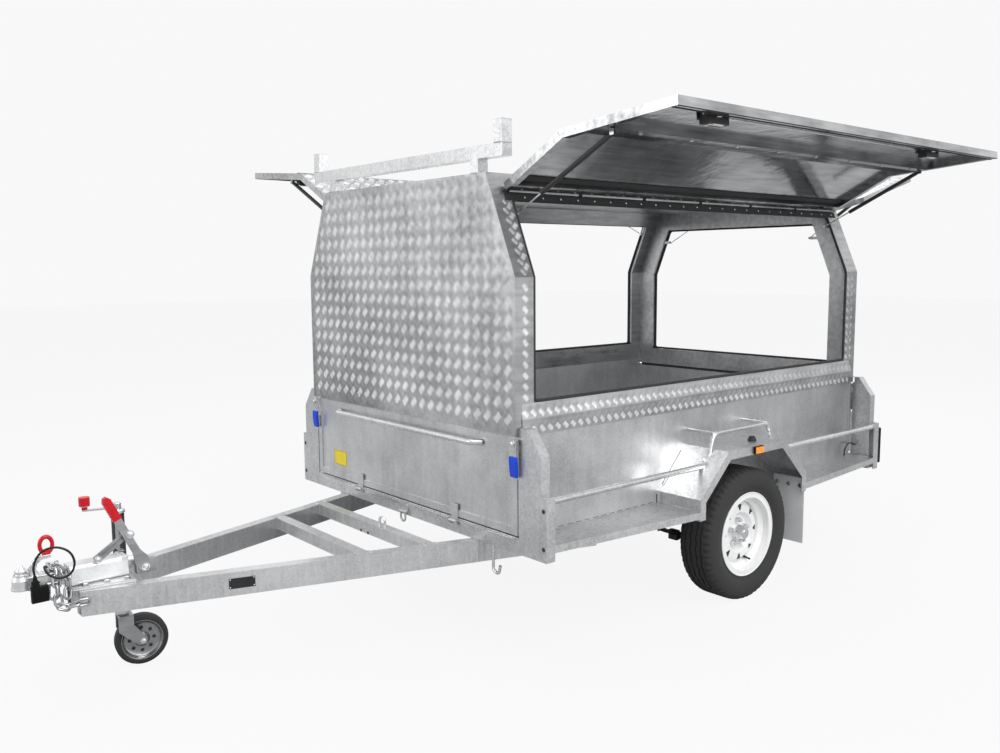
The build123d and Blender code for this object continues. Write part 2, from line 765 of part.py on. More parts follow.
# Safety chain: links from an anchor on the left rail, drawn up beside the coupling's neck
link_wire = 4.5
link_straight = 9.0
link_bend = 12.0
link_pitch = 2 * (link_straight + link_bend) - 2 * link_wire - 0.8
chain_route = [
    (1421, 98.5, 397), (1453, 92, 395), (1482, 81, 390), (1494, 72, 402), (1494, 62, 432),
    (1492, 52, 464), (1490, 46, 500),
]
anchor_start = 1386.0
anchor_end = 1412.0
anchor_half = 16.0
anchor_thick = 6.0


def chain_spots(route, pitch):
    """Link centres one pitch apart along a route, each with the route's direction there."""
    spots = []
    left = 0.0
    for a, b in zip(route, route[1:]):
        run = Vector(*b) - Vector(*a)
        while left <= run.length:
            spots.append((Vector(*a) + run * (left / run.length), run))
            left += pitch
        left -= run.length
    return spots


with BuildPart() as safety_chain:
    slab(level(chain_route[0][2] - anchor_half),
         [(anchor_start, rail_outer(anchor_start)), (anchor_end, rail_outer(anchor_end)),
          (anchor_end, rail_outer(anchor_end) + anchor_thick),
          (anchor_start, rail_outer(anchor_start) + anchor_thick)], 2 * anchor_half)
    for index, (spot, heading) in enumerate(chain_spots(chain_route, link_pitch)):
        ahead = heading.normalized()
        upright = Vector(0, 0, 1) if abs(ahead.Z) < 0.8 else Vector(0, 1, 0)
        side = upright.cross(ahead).normalized()
        normal = side if index % 2 == 0 else ahead.cross(side)
        centre = Vector(front_x, 0, 0) + spot - normal * link_wire
        with BuildSketch(Plane(origin=centre, x_dir=ahead, z_dir=normal)) as ring:
            SlotCenterToCenter(2 * link_straight, 2 * (link_bend + link_wire))
            SlotCenterToCenter(2 * link_straight, 2 * (link_bend - link_wire), mode=Mode.SUBTRACT)
        extrude(ring.sketch, amount=2 * link_wire)
keep(safety_chain, "safety_chain")

# Trailer lead: from a gland on the base plate, up in an arch and down to the plug
plug_x = 1549.0
plug_y = 60.0
plug_top = 493.0
plug_bottom = 420.0
lead_entry_x = 1561.0
lead_route = [
    (1508, 14, neck_top), (1508, 14, neck_top + 14), (1514, 25, 528), (1525, 39, 535), (1528, 54, 531),
    (1526, 69, 521), (1517, 81, 509), (1498, 88, 499), (1477, 90, 497), (1459, 91, 503),
    (1445, 91, 518), (1439, 90, 540), (1442, 88, 562), (1452, 85, 582), (1469, 81, 596),
    (1491, 76, 605), (1515, 70, 604), (1535, 66, 597), (1550, 63, 581), (1560, 61, 560),
    (1565, plug_y, 538), (lead_entry_x, plug_y, 513), (lead_entry_x, plug_y, plug_top),
]
lead_bends = cord_radii(lead_route)
print("trailer lead arc radii", [round(r, 1) for r in lead_bends])
print("lamp lead arc radii", [round(r, 1) for r in cord_radii(lamp_route)])
with BuildPart() as trailer_lead:
    bent_tube(lead_route, lead_bends, lead_radius)
keep(trailer_lead, "trailer_lead")

with BuildPart() as lead_plug:
    bar((plug_x - 27, plug_x + 27), (plug_y - 9, plug_y + 9), (plug_bottom, plug_top - 18))
    bar((lead_entry_x - 11, lead_entry_x + 11), (plug_y - 9, plug_y + 9), (plug_top - 18, plug_top))
keep(lead_plug, "lead_plug")

# Rope hooks under the front beam and a tie loop on the rear crossmember
hook_y = 600.0
hook_x = -22.0
hook_points = [
    (hook_x, hook_y, ground_to_chassis), (hook_x, hook_y, 320), (hook_x, hook_y + 34, 306),
    (hook_x, hook_y + 44, 346),
]
with BuildPart() as rope_hooks:
    bent_tube(hook_points, [14, 14], 6)
    mirror(about=Plane.XZ)
    loop_points = [(180, 66, rail_top), (180, 66, 470), (180, 108, 470), (180, 108, rail_top)]
    bent_tube(loop_points, [16, 16], 5)
keep(rope_hooks, "rope_hooks")

# Jockey wheel: clamp and outer tube on the right rail, sliding leg, castor fork and wheel
clamp_lean = atan2(rail_slope, 1)
clamp_ring = tube_radius + clamp_wall
jockey_y = -(rail_outer(jockey_x) + clamp_plate + clamp_ring / cos(clamp_lean))
leg_radius = tube_radius - tube_wall - sliding_fit
clamp_half = 40.0
hub_foot = 4.0
crank_hub = 14.0
with BuildPart() as jockey_tube:
    near = -rail_outer(jockey_x + clamp_half)
    far = -rail_outer(jockey_x - clamp_half)
    slab(level(rail_top - rail_height + 6),
         [(jockey_x + clamp_half, near), (jockey_x + clamp_half, near - clamp_plate),
          (jockey_x - clamp_half, far - clamp_plate), (jockey_x - clamp_half, far)],
         rail_height - 12)
    block_half = 20.0
    block_inner = -rail_outer(jockey_x - block_half) - 1
    bar((jockey_x - block_half, jockey_x + block_half), (jockey_y, block_inner), (rail_top - 78, rail_top - 12))
    rod((jockey_x, jockey_y, rail_top - 78), (jockey_x, jockey_y, rail_top - 12), clamp_ring)
    rod((jockey_x, jockey_y, tube_bottom), (jockey_x, jockey_y, tube_top), tube_radius)
    rod((jockey_x, jockey_y, tube_bottom), (jockey_x, jockey_y, tube_top - 8),
        tube_radius - tube_wall, Mode.SUBTRACT)
    rod((jockey_x, jockey_y, tube_top - 8), (jockey_x, jockey_y, tube_top), tube_radius + 3)
    rod((jockey_x, jockey_y, tube_top), (jockey_x, jockey_y, tube_top + hub_foot), crank_hub)
keep(jockey_tube, "jockey_tube")

crank_z = tube_top + hub_foot + 2.0
crank_reach = 128.0
crank_drop = 13.0
crank_turn = radians(-42.0)
crank_tip = (jockey_x + crank_reach * cos(crank_turn), jockey_y + crank_reach * sin(crank_turn))
knob_foot = crank_z - crank_drop
crank_plane = Plane(origin=(front_x + jockey_x, jockey_y, crank_z),
                    x_dir=Vector(crank_reach * cos(crank_turn), crank_reach * sin(crank_turn), -crank_drop),
                    z_dir=Vector(crank_drop * cos(crank_turn), crank_drop * sin(crank_turn), crank_reach))
with BuildPart() as jockey_crank:
    with BuildSketch(crank_plane) as arm:
        with Locations((crank_reach / 2, 0)):
            SlotCenterToCenter(crank_reach, 20)
    extrude(arm.sketch, amount=6)
    rod((jockey_x, jockey_y, tube_top + hub_foot), (jockey_x, jockey_y, tube_top + hub_foot + 23), crank_hub)
    rod((*crank_tip, knob_foot + 4), (*crank_tip, knob_foot + 20), 9.5)
    rod((*crank_tip, knob_foot + 20), (*crank_tip, knob_foot + 55), 20)
keep(jockey_crank, "jockey_crank")

leg_foot = fork_top + 12.0
leg_engaged = 200.0
leg_flange = 26.0
leg_flange_height = 10.0
with BuildPart() as jockey_leg:
    rod((jockey_x, jockey_y, leg_foot), (jockey_x, jockey_y, tube_bottom + leg_engaged), leg_radius)
    rod((jockey_x, jockey_y, leg_foot), (jockey_x, jockey_y, leg_foot + leg_flange_height), leg_flange)
    rod((jockey_x, jockey_y, leg_foot - 7), (jockey_x, jockey_y, leg_foot), 22)
    rod((jockey_x, jockey_y, leg_foot - 20), (jockey_x, jockey_y, leg_foot - 7), 8)
keep(jockey_leg, "jockey_leg")

fold = radians(jockey_turn)
castor = Plane(origin=(front_x + jockey_x, jockey_y, 0), x_dir=(cos(fold), sin(fold), 0), z_dir=(0, 0, 1))
fork_half = jockey_width / 2 + 8.0
with BuildPart() as jockey_fork:
    crown_z = fork_top - fork_plate
    with BuildSketch(castor.offset(crown_z)) as crown:
        with Locations((4, 0)):
            Rectangle(56, 2 * fork_half + 2 * fork_plate)
        Circle(8 + bearing_fit, mode=Mode.SUBTRACT)
    extrude(crown.sketch, amount=fork_plate)
    for start in (fork_half, -fork_half - fork_plate):
        cheek_plane = Plane(origin=castor.from_local_coords(Vector(0, start, 0)),
                            x_dir=castor.x_dir, z_dir=castor.y_dir)
        with BuildSketch(cheek_plane) as cheek:
            with BuildLine():
                Polyline((-24, -fork_top), (32, -fork_top), (32, -fork_top + 40),
                         (jockey_trail + 16, -jockey_radius - 10),
                         (jockey_trail + 16, -jockey_radius + 14),
                         (jockey_trail - 16, -jockey_radius + 14), (-24, -fork_top + 62), close=True)
            make_face()
        extrude(cheek.sketch, amount=fork_plate)
    axle_plane = Plane(origin=castor.from_local_coords(Vector(jockey_trail, -fork_half, jockey_radius)),
                       x_dir=castor.x_dir, z_dir=castor.y_dir)
    with BuildSketch(axle_plane) as pin:
        Circle(jockey_pin)
    extrude(pin.sketch, amount=2 * fork_half)
keep(jockey_fork, "jockey_fork")

spin_plane = Plane(origin=castor.from_local_coords(Vector(jockey_trail, 0, jockey_radius)),
                   x_dir=castor.y_dir, z_dir=castor.x_dir)
with BuildPart() as jockey_wheel:
    half = jockey_width / 2
    bore = jockey_pin + bearing_fit
    turned(spin_plane, [
        (half - 2, bore), (half - 2, 18), (half - 6, 22), (8, 26), (6, 62), (half - 4, 76),
        (half - 2, 80), (half, 88), (half - 8, jockey_radius), (-half + 8, jockey_radius),
        (-half, 88), (-half + 2, 80), (-half + 4, 76), (-6, 62), (-8, 26), (-half + 6, 22),
        (-half + 2, 18), (-half + 2, bore)])
keep(jockey_wheel, "jockey_wheel")

# Canopy: the section folds at a knuckle and leans in to the roof
lean = atan2(roof_z - knuckle_z, canopy_half - roof_half)
lean_out = Vector(sin(lean), cos(lean))
half_fold = tan((radians(90) - lean) / 2)


def wall_point(n, z):
    """A point at n outside the canopy's face, at the height z of that face."""
    if z <= knuckle_z:
        return (canopy_half + n, z)
    y = canopy_half - (z - knuckle_z) / tan(lean)
    return (y + n * lean_out.X, z + n * lean_out.Y)


def knuckle_point(n):
    """The fold's corner at n outside the canopy's face."""
    return (canopy_half + n, knuckle_z + n * half_fold)


def folded_band(inner, outer, low, high):
    """The folded wall between two distances from its face and two heights."""
    return [wall_point(inner, low), wall_point(outer, low), knuckle_point(outer),
            wall_point(outer, high), wall_point(inner, high), knuckle_point(inner)]


def mirrored(outline):
    """An outline on the left followed by its mirror image on the right."""
    return outline + [(-y, z) for y, z in reversed(outline)]


gable = mirrored([(canopy_half, canopy_foot), (canopy_half, knuckle_z), (roof_half, roof_z)])
with BuildPart() as canopy_front_wall:
    slab(across(canopy_front - canopy_wall), gable, canopy_wall)
keep(canopy_front_wall, "canopy_front_wall")

inner_front = canopy_front - canopy_wall
inner_rear = canopy_rear + canopy_wall
rear_opening = mirrored([(rear_opening_half, rear_opening_low), (rear_opening_half, knuckle_z - 20),
                         (rear_opening_top_half, rear_opening_high)])
rear_strut_y = 500.0
eye_half = 4.0
eye_pin = 4.0
rear_frame_eye = (canopy_rear + 18.0, 1700.0)
with BuildPart() as canopy_rear_frame:
    slab(across(canopy_rear), gable, canopy_wall)
    slab(across(canopy_rear), rear_opening, canopy_wall, Mode.SUBTRACT)
    for side in (-1, 1):
        eye_x, eye_height = rear_frame_eye
        near = side * (rear_strut_y + eye_half + 2)
        bar((eye_x - 8, eye_x + 8), sorted((near, side * (rear_opening_half - 60))),
            (eye_height - 8, eye_height + 8))
    bar((-body_length + gate_thickness, inner_rear), (tray_half, wall_outer),
        (canopy_foot, tray_top), Mode.SUBTRACT)
    bar((-body_length + gate_thickness, inner_rear), (-wall_outer, -tray_half),
        (canopy_foot, tray_top), Mode.SUBTRACT)
keep(canopy_rear_frame, "canopy_rear_frame")

# Gas strut eyes: on each side door, and under the roof's edge at both ends of the opening
open_front = -post_front
open_rear = -body_length + post_rear
strut_inset = 28.0
strut_reach = 190.0
strut_stations = (open_front - strut_inset, open_rear + strut_inset)
door_eye_closed = (canopy_half + door_gap - 14.0, knuckle_z - strut_reach)
frame_eye = wall_point(-20.0, 1765.0)
shoulder_in = wall_point(-frame_depth, opening_top)
shoulder_out = wall_point(0, opening_top)
with BuildPart() as canopy_roof:
    inner_top = (roof_half - frame_depth * tan(lean / 2), roof_z - frame_depth)
    slab(across(inner_rear),
         mirrored([inner_top, shoulder_in, shoulder_out, (roof_half, roof_z)]),
         inner_front - inner_rear)
    for x, toward in zip(strut_stations, (1, -1)):
        outer = x + toward * (eye_half + 2)
        for side in (-1, 1):
            tab = [(side * (frame_eye[0] - 9), frame_eye[1] - 8), (side * (frame_eye[0] + 7), frame_eye[1] - 8),
                   (side * (shoulder_in[0] + 8), opening_top + 4), (side * (shoulder_in[0] - 6), opening_top + 4)]
            slab(across(min(outer, outer + toward * 6)), tab, 6)
keep(canopy_roof, "canopy_roof")

with BuildPart() as canopy_sills:
    slab(across(inner_rear),
         [(tray_half, tray_top), (wall_outer + plate_gap, tray_top),
          (wall_outer + plate_gap, canopy_foot), (skirt_reach, canopy_foot),
          (skirt_reach, skirt_fold), (canopy_half - 8, opening_sill), (tray_half, opening_sill)],
         inner_front - inner_rear)
    mirror(about=Plane.XZ)
keep(canopy_sills, "canopy_sills")

with BuildPart() as canopy_posts:
    post = folded_band(-frame_depth, 0, opening_sill, opening_top)
    slab(across(-post_front), post, post_front + inner_front)
    slab(across(inner_rear), post, -body_length + post_rear - inner_rear)
    mirror(about=Plane.XZ)
keep(canopy_posts, "canopy_posts")

# Rubber seals round the three openings, flush with the frame's face
with BuildPart() as door_seals:
    ring = folded_band(-seal_depth, 0, opening_sill, opening_top)
    slab(across(open_front - seal_width), ring, seal_width)
    slab(across(open_rear), ring, seal_width)
    low = [(canopy_half - 8 - seal_depth, opening_sill), (canopy_half - 8, opening_sill),
           (canopy_half - 8, opening_sill + seal_width), (canopy_half - 8 - seal_depth, opening_sill + seal_width)]
    high = [wall_point(-seal_depth, opening_top - seal_width), wall_point(0, opening_top - seal_width),
            wall_point(0, opening_top), wall_point(-seal_depth, opening_top)]
    slab(across(open_rear), low, open_front - open_rear)
    slab(across(open_rear), high, open_front - open_rear)
    mirror(about=Plane.XZ)
    with BuildSketch(across(canopy_rear)) as rear_ring:
        with BuildLine():
            Polyline(*rear_opening, close=True)
        make_face()
        offset(amount=-seal_width, kind=Kind.INTERSECTION, mode=Mode.SUBTRACT)
    extrude(rear_ring.sketch, amount=seal_depth)
keep(door_seals, "door_seals")

# Ladder racks: a crossbar on two feet with an upright at each end, front and rear
rack_tube = 50.0
rack_half = 715.0
rack_low = 1967.0
rack_top = 2105.0
rack_foot_y = 570.0
rack_inset = 20.0
with BuildPart() as ladder_racks:
    for x in (canopy_front - rack_tube, canopy_rear + rack_inset):
        bar((x, x + rack_tube), (-rack_half, rack_half), (rack_low, rack_low + rack_tube))
        for side in (-1, 1):
            ys = sorted((side * (rack_half - rack_tube), side * rack_half))
            bar((x, x + rack_tube), ys, (rack_low + rack_tube, rack_top))
            feet = sorted((side * rack_foot_y, side * (rack_foot_y - rack_tube)))
            bar((x, x + rack_tube), feet, (roof_z, rack_low))
keep(ladder_racks, "ladder_racks")

# Hinges: a fixed pin along each door's top edge, held by arms on the canopy
hinge = wall_point(hinge_offset, hinge_z)
rear_hinge = (canopy_rear - hinge_offset, rear_hinge_z)
arm_width = 14.0
arm_half = 4.0
side_arms = [door_front - 8 - index * (door_front - door_back - 16) / 6 for index in range(7)]
rear_arm_reach = rear_door_top_half - 20.0
rear_arms = [rear_arm_reach * share for share in (-1, -0.5, 0, 0.5, 1)]
with BuildPart() as door_hinges:
    rod((door_back, *hinge), (door_front, *hinge), hinge_pin)
    for x in side_arms:
        arm = [wall_point(0, hinge_z - arm_half), wall_point(hinge_offset, hinge_z - arm_half),
               wall_point(hinge_offset, hinge_z + arm_half), wall_point(0, hinge_z + arm_half)]
        slab(across(x - arm_width / 2), arm, arm_width)
    mirror(about=Plane.XZ)
    rod((rear_hinge[0], -rear_arm_reach, rear_hinge_z), (rear_hinge[0], rear_arm_reach, rear_hinge_z),
        hinge_pin)
    for y in rear_arms:
        bar((rear_hinge[0], canopy_rear), (y - arm_width / 2, y + arm_width / 2),
            (rear_hinge_z - arm_half, rear_hinge_z + arm_half))
keep(door_hinges, "door_hinges")

# Side doors: folded pans, drawn closed on the wall and swung open about the hinge
hinge_top = hinge_z - hinge_clearance * sin(lean)
knuckle_gap = 4.0


def swung(points, pivot, angle):
    """Points turned about a pivot in their own plane by an angle in degrees."""
    c, s = cos(radians(angle)), sin(radians(angle))
    return [(pivot[0] + c * (a - pivot[0]) - s * (b - pivot[1]),
             pivot[1] + s * (a - pivot[0]) + c * (b - pivot[1])) for a, b in points]


def opened(points):
    """Points of the closed left door, where they are when it stands open."""
    return swung(points, hinge, door_swing)


door_out = door_gap + door_thickness
skin_in = door_out - door_skin
hat_low = knuckle_z - 190.0
hat_high = knuckle_z - 150.0
door_eye = opened([door_eye_closed])[0]
knuckle_spans = [((a + b) / 2, a - b - arm_width - 2 * knuckle_gap) for a, b in zip(side_arms, side_arms[1:])]
with BuildPart() as door_left:
    slab(across(door_back), opened(folded_band(skin_in, door_out, door_bottom, hinge_top)),
         door_front - door_back)
    side_rim = opened(folded_band(door_gap, skin_in, door_bottom, hinge_top))
    slab(across(door_back), side_rim, door_rim)
    slab(across(door_front - door_rim), side_rim, door_rim)
    for low_z, high_z in ((door_bottom, door_bottom + door_rim), (hinge_top - door_rim, hinge_top),
                          (hat_low, hat_high)):
        edge = [wall_point(door_gap, low_z), wall_point(skin_in, low_z),
                wall_point(skin_in, high_z), wall_point(door_gap, high_z)]
        slab(across(door_back + door_rim), opened(edge), door_front - door_back - 2 * door_rim)
    for middle, length in knuckle_spans:
        rod((middle - length / 2, *hinge), (middle + length / 2, *hinge), hinge_knuckle)
    for x, toward in zip(strut_stations, (1, -1)):
        eye_y, eye_height = door_eye_closed
        tab = [(eye_y - 9, eye_height - 9), (canopy_half + skin_in, eye_height - 14),
               (canopy_half + skin_in, eye_height + 14), (eye_y - 9, eye_height + 9)]
        near = x + toward * (eye_half + 1)
        slab(across(min(near, near + toward * 5)), opened(tab), 5)
        rod((x - toward * eye_half, *door_eye), (near, *door_eye), eye_pin)
    rod((door_back - 1, *hinge), (door_front + 1, *hinge), hinge_pin + bearing_fit, Mode.SUBTRACT)
keep(door_left, "door_left")

lock_stations = (-330.0, -1900.0)
lock_length = 110.0
lock_drop = 46.0
lock_depth = 24.0
lock_face = canopy_half + skin_in
with BuildPart() as door_left_locks:
    body_low = door_bottom + door_rim + 4
    case = [(lock_face - lock_depth, body_low), (lock_face, body_low),
            (lock_face, body_low + lock_drop), (lock_face - lock_depth, body_low + lock_drop)]
    for x in lock_stations:
        slab(across(x - lock_length / 2), opened(case), lock_length)
keep(door_left_locks, "door_left_locks")

for piece, name in ((door_left, "door_right"), (door_left_locks, "door_right_locks")):
    with BuildPart() as other:
        mirror(piece.part, about=Plane.XZ)
    keep(other, name)

# Rear door: a flat pan hinged above the rear opening
rear_face_x = canopy_rear - door_gap
rear_door_low = rear_hinge_z - rear_door_length
rear_door_high = rear_hinge_z - hinge_clearance
rear_knuckle = knuckle_z + 20.0
rear_outline = mirrored([(rear_door_half, rear_door_low), (rear_door_half, rear_knuckle),
                         (rear_door_top_half, rear_door_high)])
rear_eye_closed = (rear_face_x + 14.0, 1300.0)
rear_eye = swung([rear_eye_closed], rear_hinge, -rear_swing)[0]


def rear_slab(depth, outline, thickness, mode=Mode.ADD):
    """A plate of the open rear door, its outline drawn closed, from a depth outwards."""
    foot = swung([(rear_face_x - depth, 0)], rear_hinge, -rear_swing)[0]
    tip = swung([(rear_face_x - depth, 1)], rear_hinge, -rear_swing)[0]
    upward = Vector(tip[0] - foot[0], 0, tip[1] - foot[1])
    face = Plane(origin=(front_x + foot[0], 0, foot[1]), x_dir=(0, -1, 0),
                 z_dir=Vector(0, -1, 0).cross(upward))
    slab(face, outline, thickness, mode)


rear_spans = [((a + b) / 2, b - a - arm_width - 2 * knuckle_gap) for a, b in zip(rear_arms, rear_arms[1:])]
with BuildPart() as door_rear:
    rear_slab(0, rear_outline, door_thickness)
    pocket = mirrored([(rear_door_half - door_rim, rear_door_low + door_rim),
                       (rear_door_half - door_rim, rear_knuckle - 5),
                       (rear_door_top_half - door_rim + 2, rear_door_high - door_rim)])
    rear_slab(0, pocket, door_thickness - door_skin, Mode.SUBTRACT)
    for middle, length in rear_spans:
        rod((rear_hinge[0], middle - length / 2, rear_hinge_z),
            (rear_hinge[0], middle + length / 2, rear_hinge_z), hinge_knuckle)
    for side in (-1, 1):
        near = side * (rear_strut_y + eye_half + 1)
        eye_x, eye_height = rear_eye_closed
        tab = swung([(eye_x + 9, eye_height - 9), (rear_face_x - door_thickness + door_skin, eye_height - 14),
                     (rear_face_x - door_thickness + door_skin, eye_height + 14), (eye_x + 9, eye_height + 9)],
                    rear_hinge, -rear_swing)
        slab(along(max(near, near + side * 5)), tab, 5)
        rod((rear_eye[0], side * (rear_strut_y - eye_half), rear_eye[1]), (rear_eye[0], near, rear_eye[1]),
            eye_pin)
    rod((rear_hinge[0], -rear_arm_reach - 9, rear_hinge_z), (rear_hinge[0], rear_arm_reach + 9, rear_hinge_z),
        hinge_pin + bearing_fit, Mode.SUBTRACT)
keep(door_rear, "door_rear")

with BuildPart() as door_rear_locks:
    for y in (-430.0, 430.0):
        low_z = rear_door_low + door_rim + 4
        rear_slab(door_thickness - door_skin - lock_depth,
                  [(y - lock_length / 2, low_z), (y + lock_length / 2, low_z),
                   (y + lock_length / 2, low_z + lock_drop), (y - lock_length / 2, low_z + lock_drop)],
                  lock_depth)
keep(door_rear_locks, "door_rear_locks")

# Gas struts: a cylinder hinged on the door and a rod that slides in it to the frame's eye
cylinder_radius = 9.5
rod_radius = 3.5
eye_ring = 8.0
rod_fit = 0.06
rod_engaged = 40.0
rod_spare = 10.0
barrel_margin = 58.0


def strut_pair(name, door_end, frame_end, spots, closed_length):
    """Two cylinders and rods between a door's eye and the frame's eye."""
    a = Vector(door_end[0], 0, door_end[1])
    b = Vector(frame_end[0], 0, frame_end[1])
    length = (b - a).length
    step = (b - a) * (1 / length)
    stroke = length - closed_length
    barrel_end = closed_length - barrel_margin + 14
    with BuildPart() as cylinders:
        for spot in spots:
            rod(spot(a + step * (eye_ring + 4)), spot(a + step * barrel_end), cylinder_radius)
            rod(spot(a), spot(a + step * (eye_ring + 4)), rod_radius)
            rod(spot(a, -eye_half), spot(a, eye_half), eye_ring)
            rod(spot(a, -eye_half - 1), spot(a, eye_half + 1), eye_pin + bearing_fit, Mode.SUBTRACT)
            rod(spot(a + step * (barrel_end - rod_engaged - stroke - rod_spare)),
                spot(a + step * (barrel_end + 1)), rod_radius + rod_fit, Mode.SUBTRACT)
    keep(cylinders, f"strut_cylinders_{name}")
    with BuildPart() as rods:
        for spot in spots:
            rod(spot(a + step * (barrel_end - rod_engaged)), spot(b - step * 4), rod_radius)
            rod(spot(b, -eye_half), spot(b, eye_half), 6)
    keep(rods, f"strut_rods_{name}")


side_closed = hypot(door_eye_closed[0] - frame_eye[0], door_eye_closed[1] - frame_eye[1])
left_spots = [lambda v, off=0.0, x=x: (x + off, v.X, v.Z) for x in strut_stations]
right_spots = [lambda v, off=0.0, x=x: (x + off, -v.X, v.Z) for x in strut_stations]
strut_pair("left", door_eye, frame_eye, left_spots, side_closed)
strut_pair("right", door_eye, frame_eye, right_spots, side_closed)

rear_closed = hypot(rear_eye_closed[0] - rear_frame_eye[0], rear_eye_closed[1] - rear_frame_eye[1])
rear_spots = [lambda v, off=0.0, y=y: (v.X, y + off, v.Z) for y in (rear_strut_y, -rear_strut_y)]
strut_pair("rear", rear_eye, rear_frame_eye, rear_spots, rear_closed)

# Gates: panels between the corner plates, hinged low in front of the beam
grab_height = 846.0
grab_out = 33.0
grab_half = 556.0
grab_radius = 12.0
pane_rim = 30.0
pane_depth = 6.0
strap_rise = 60.0
strap = 5.0
with BuildPart() as gate_front:
    gate_foot = chassis_top + gate_gap
    bar((-gate_thickness, 0), (-gate_half, gate_half), (gate_foot, gate_top))
    bar((-pane_depth, 0), (-gate_half + pane_rim, gate_half - pane_rim),
        (gate_foot + pane_rim, gate_top - pane_rim), Mode.SUBTRACT)
    for y in (-hinge_half, hinge_half):
        ys = (y - strap_width / 2, y + strap_width / 2)
        bar((0, strap), ys, (gate_hinge_z, chassis_top + strap_rise))
        bar((0, gate_hinge_x), ys, (gate_hinge_z, gate_hinge_z + strap))
        rod((gate_hinge_x, ys[0], gate_hinge_z), (gate_hinge_x, ys[1], gate_hinge_z), gate_knuckle)
        rod((gate_hinge_x, ys[0] - 1, gate_hinge_z), (gate_hinge_x, ys[1] + 1, gate_hinge_z),
            gate_pin + bearing_fit, Mode.SUBTRACT)
keep(gate_front, "gate_front")

latch_y = 760.0
latch_mount = 8.0
latch_handle = 14.0
with BuildPart() as gate_fittings_front:
    bar((0, latch_mount), (latch_y - 12, latch_y + 12), (800, gate_top - 4))
    slab(along(latch_y + 34),
         [(latch_mount, 744), (latch_mount + 8, 742), (latch_mount + latch_handle, 800),
          (latch_mount + latch_handle, 888), (latch_mount, 888)], 40)
    mirror(about=Plane.XZ)
    bent_tube([(-pane_depth, -grab_half, grab_height), (grab_out, -grab_half + 30, grab_height),
               (grab_out, grab_half - 30, grab_height), (-pane_depth, grab_half, grab_height)],
              [20, 20], grab_radius)
    bar((-gate_thickness, -pane_depth), (-gate_half, gate_half), (gate_foot, gate_top), Mode.SUBTRACT)
keep(gate_fittings_front, "gate_fittings_front")

for piece, name in ((gate_front, "gate_rear"), (gate_fittings_front, "gate_fittings_rear")):
    with BuildPart() as other:
        mirror(piece.part, about=across(body_middle))
    keep(other, name)
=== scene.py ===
"""Looks of the box trailer with its canopy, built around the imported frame. Metres, row frame."""

import logging
import math
from dataclasses import dataclass, field
from enum import Enum

import bmesh
import bpy
import numpy as np
from mathutils import Matrix, Vector


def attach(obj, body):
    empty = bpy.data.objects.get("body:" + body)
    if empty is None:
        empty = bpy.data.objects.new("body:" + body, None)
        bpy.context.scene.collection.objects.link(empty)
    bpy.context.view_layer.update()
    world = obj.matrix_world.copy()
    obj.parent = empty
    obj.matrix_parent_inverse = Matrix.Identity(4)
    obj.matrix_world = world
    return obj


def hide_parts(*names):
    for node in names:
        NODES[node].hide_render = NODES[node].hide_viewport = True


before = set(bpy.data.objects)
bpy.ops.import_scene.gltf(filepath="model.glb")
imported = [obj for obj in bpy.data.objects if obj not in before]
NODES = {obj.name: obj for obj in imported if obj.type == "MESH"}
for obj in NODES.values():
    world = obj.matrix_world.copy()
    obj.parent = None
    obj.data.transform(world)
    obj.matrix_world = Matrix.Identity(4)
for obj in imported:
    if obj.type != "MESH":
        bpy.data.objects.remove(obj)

LOG = logging.getLogger("trailer")
Array = np.ndarray
Blocks = list

# Row stations of the trailer's main planes and lines, in metres.
BODY_FRONT = 0.855
BODY_REAR = -1.641
WALL_FRONT = 0.870
WALL_REAR = -1.629
ROOF_FRONT = 0.840
ROOF_REAR = -1.599
AXLE_X = -0.393
AXLE_Z = 0.310
TRACK = 0.897
TRAY_SIDE = 0.784
CANOPY_HALF = 0.787
FOOT_Z = 0.898
KNUCKLE_Z = 1.510
ROOF_HALF = 0.618
ROOF_Z = 1.913
HINGE = (0.657835, 1.843867)
REAR_HINGE = (-1.639, 1.830)
DOOR_SWING = 94.9
REAR_SWING = 105.0
RAIL_SPREAD = 0.538
RAIL_SLOPE = (0.538 - 0.087) / 1.426


def station(millimetres: float) -> float:
    """Row x of a station counted in millimetres from the body's front plane."""
    return BODY_FRONT + millimetres / 1000.0


def row_points(triples: list) -> Array:
    """Row points, in metres, of (station, y, z) triples in millimetres."""
    points = np.array(triples, float) / 1000.0
    points[:, 0] += BODY_FRONT
    return points


# ---------------------------------------------------------------- mesh kit


def unit(vector: Array) -> Array:
    """A vector at length one: v over the root of the sum of its squares."""
    vector = np.asarray(vector, float)
    return vector / np.linalg.norm(vector, axis=-1, keepdims=True)


def square_to(axis: Array) -> tuple[Array, Array]:
    """Two unit vectors square to an axis and to each other."""
    axis = unit(axis)
    helper = np.array([0.0, 0.0, 1.0]) if abs(axis[2]) < 0.9 else np.array([1.0, 0.0, 0.0])
    first = unit(np.cross(helper, axis))
    return first, np.cross(axis, first)


def grid_faces(rows: int, columns: int, wrap_columns: bool = False, wrap_rows: bool = False) -> Array:
    """Quads of a grid of rows by columns, each (i, j), (i, j+1), (i+1, j+1), (i+1, j)."""
    i = np.arange(rows if wrap_rows else rows - 1)[:, None]
    j = np.arange(columns if wrap_columns else columns - 1)[None, :]
    below, beside = (i + 1) % rows, (j + 1) % columns
    return np.stack([i * columns + j, i * columns + beside,
                     below * columns + beside, below * columns + j], -1).reshape(-1, 4)


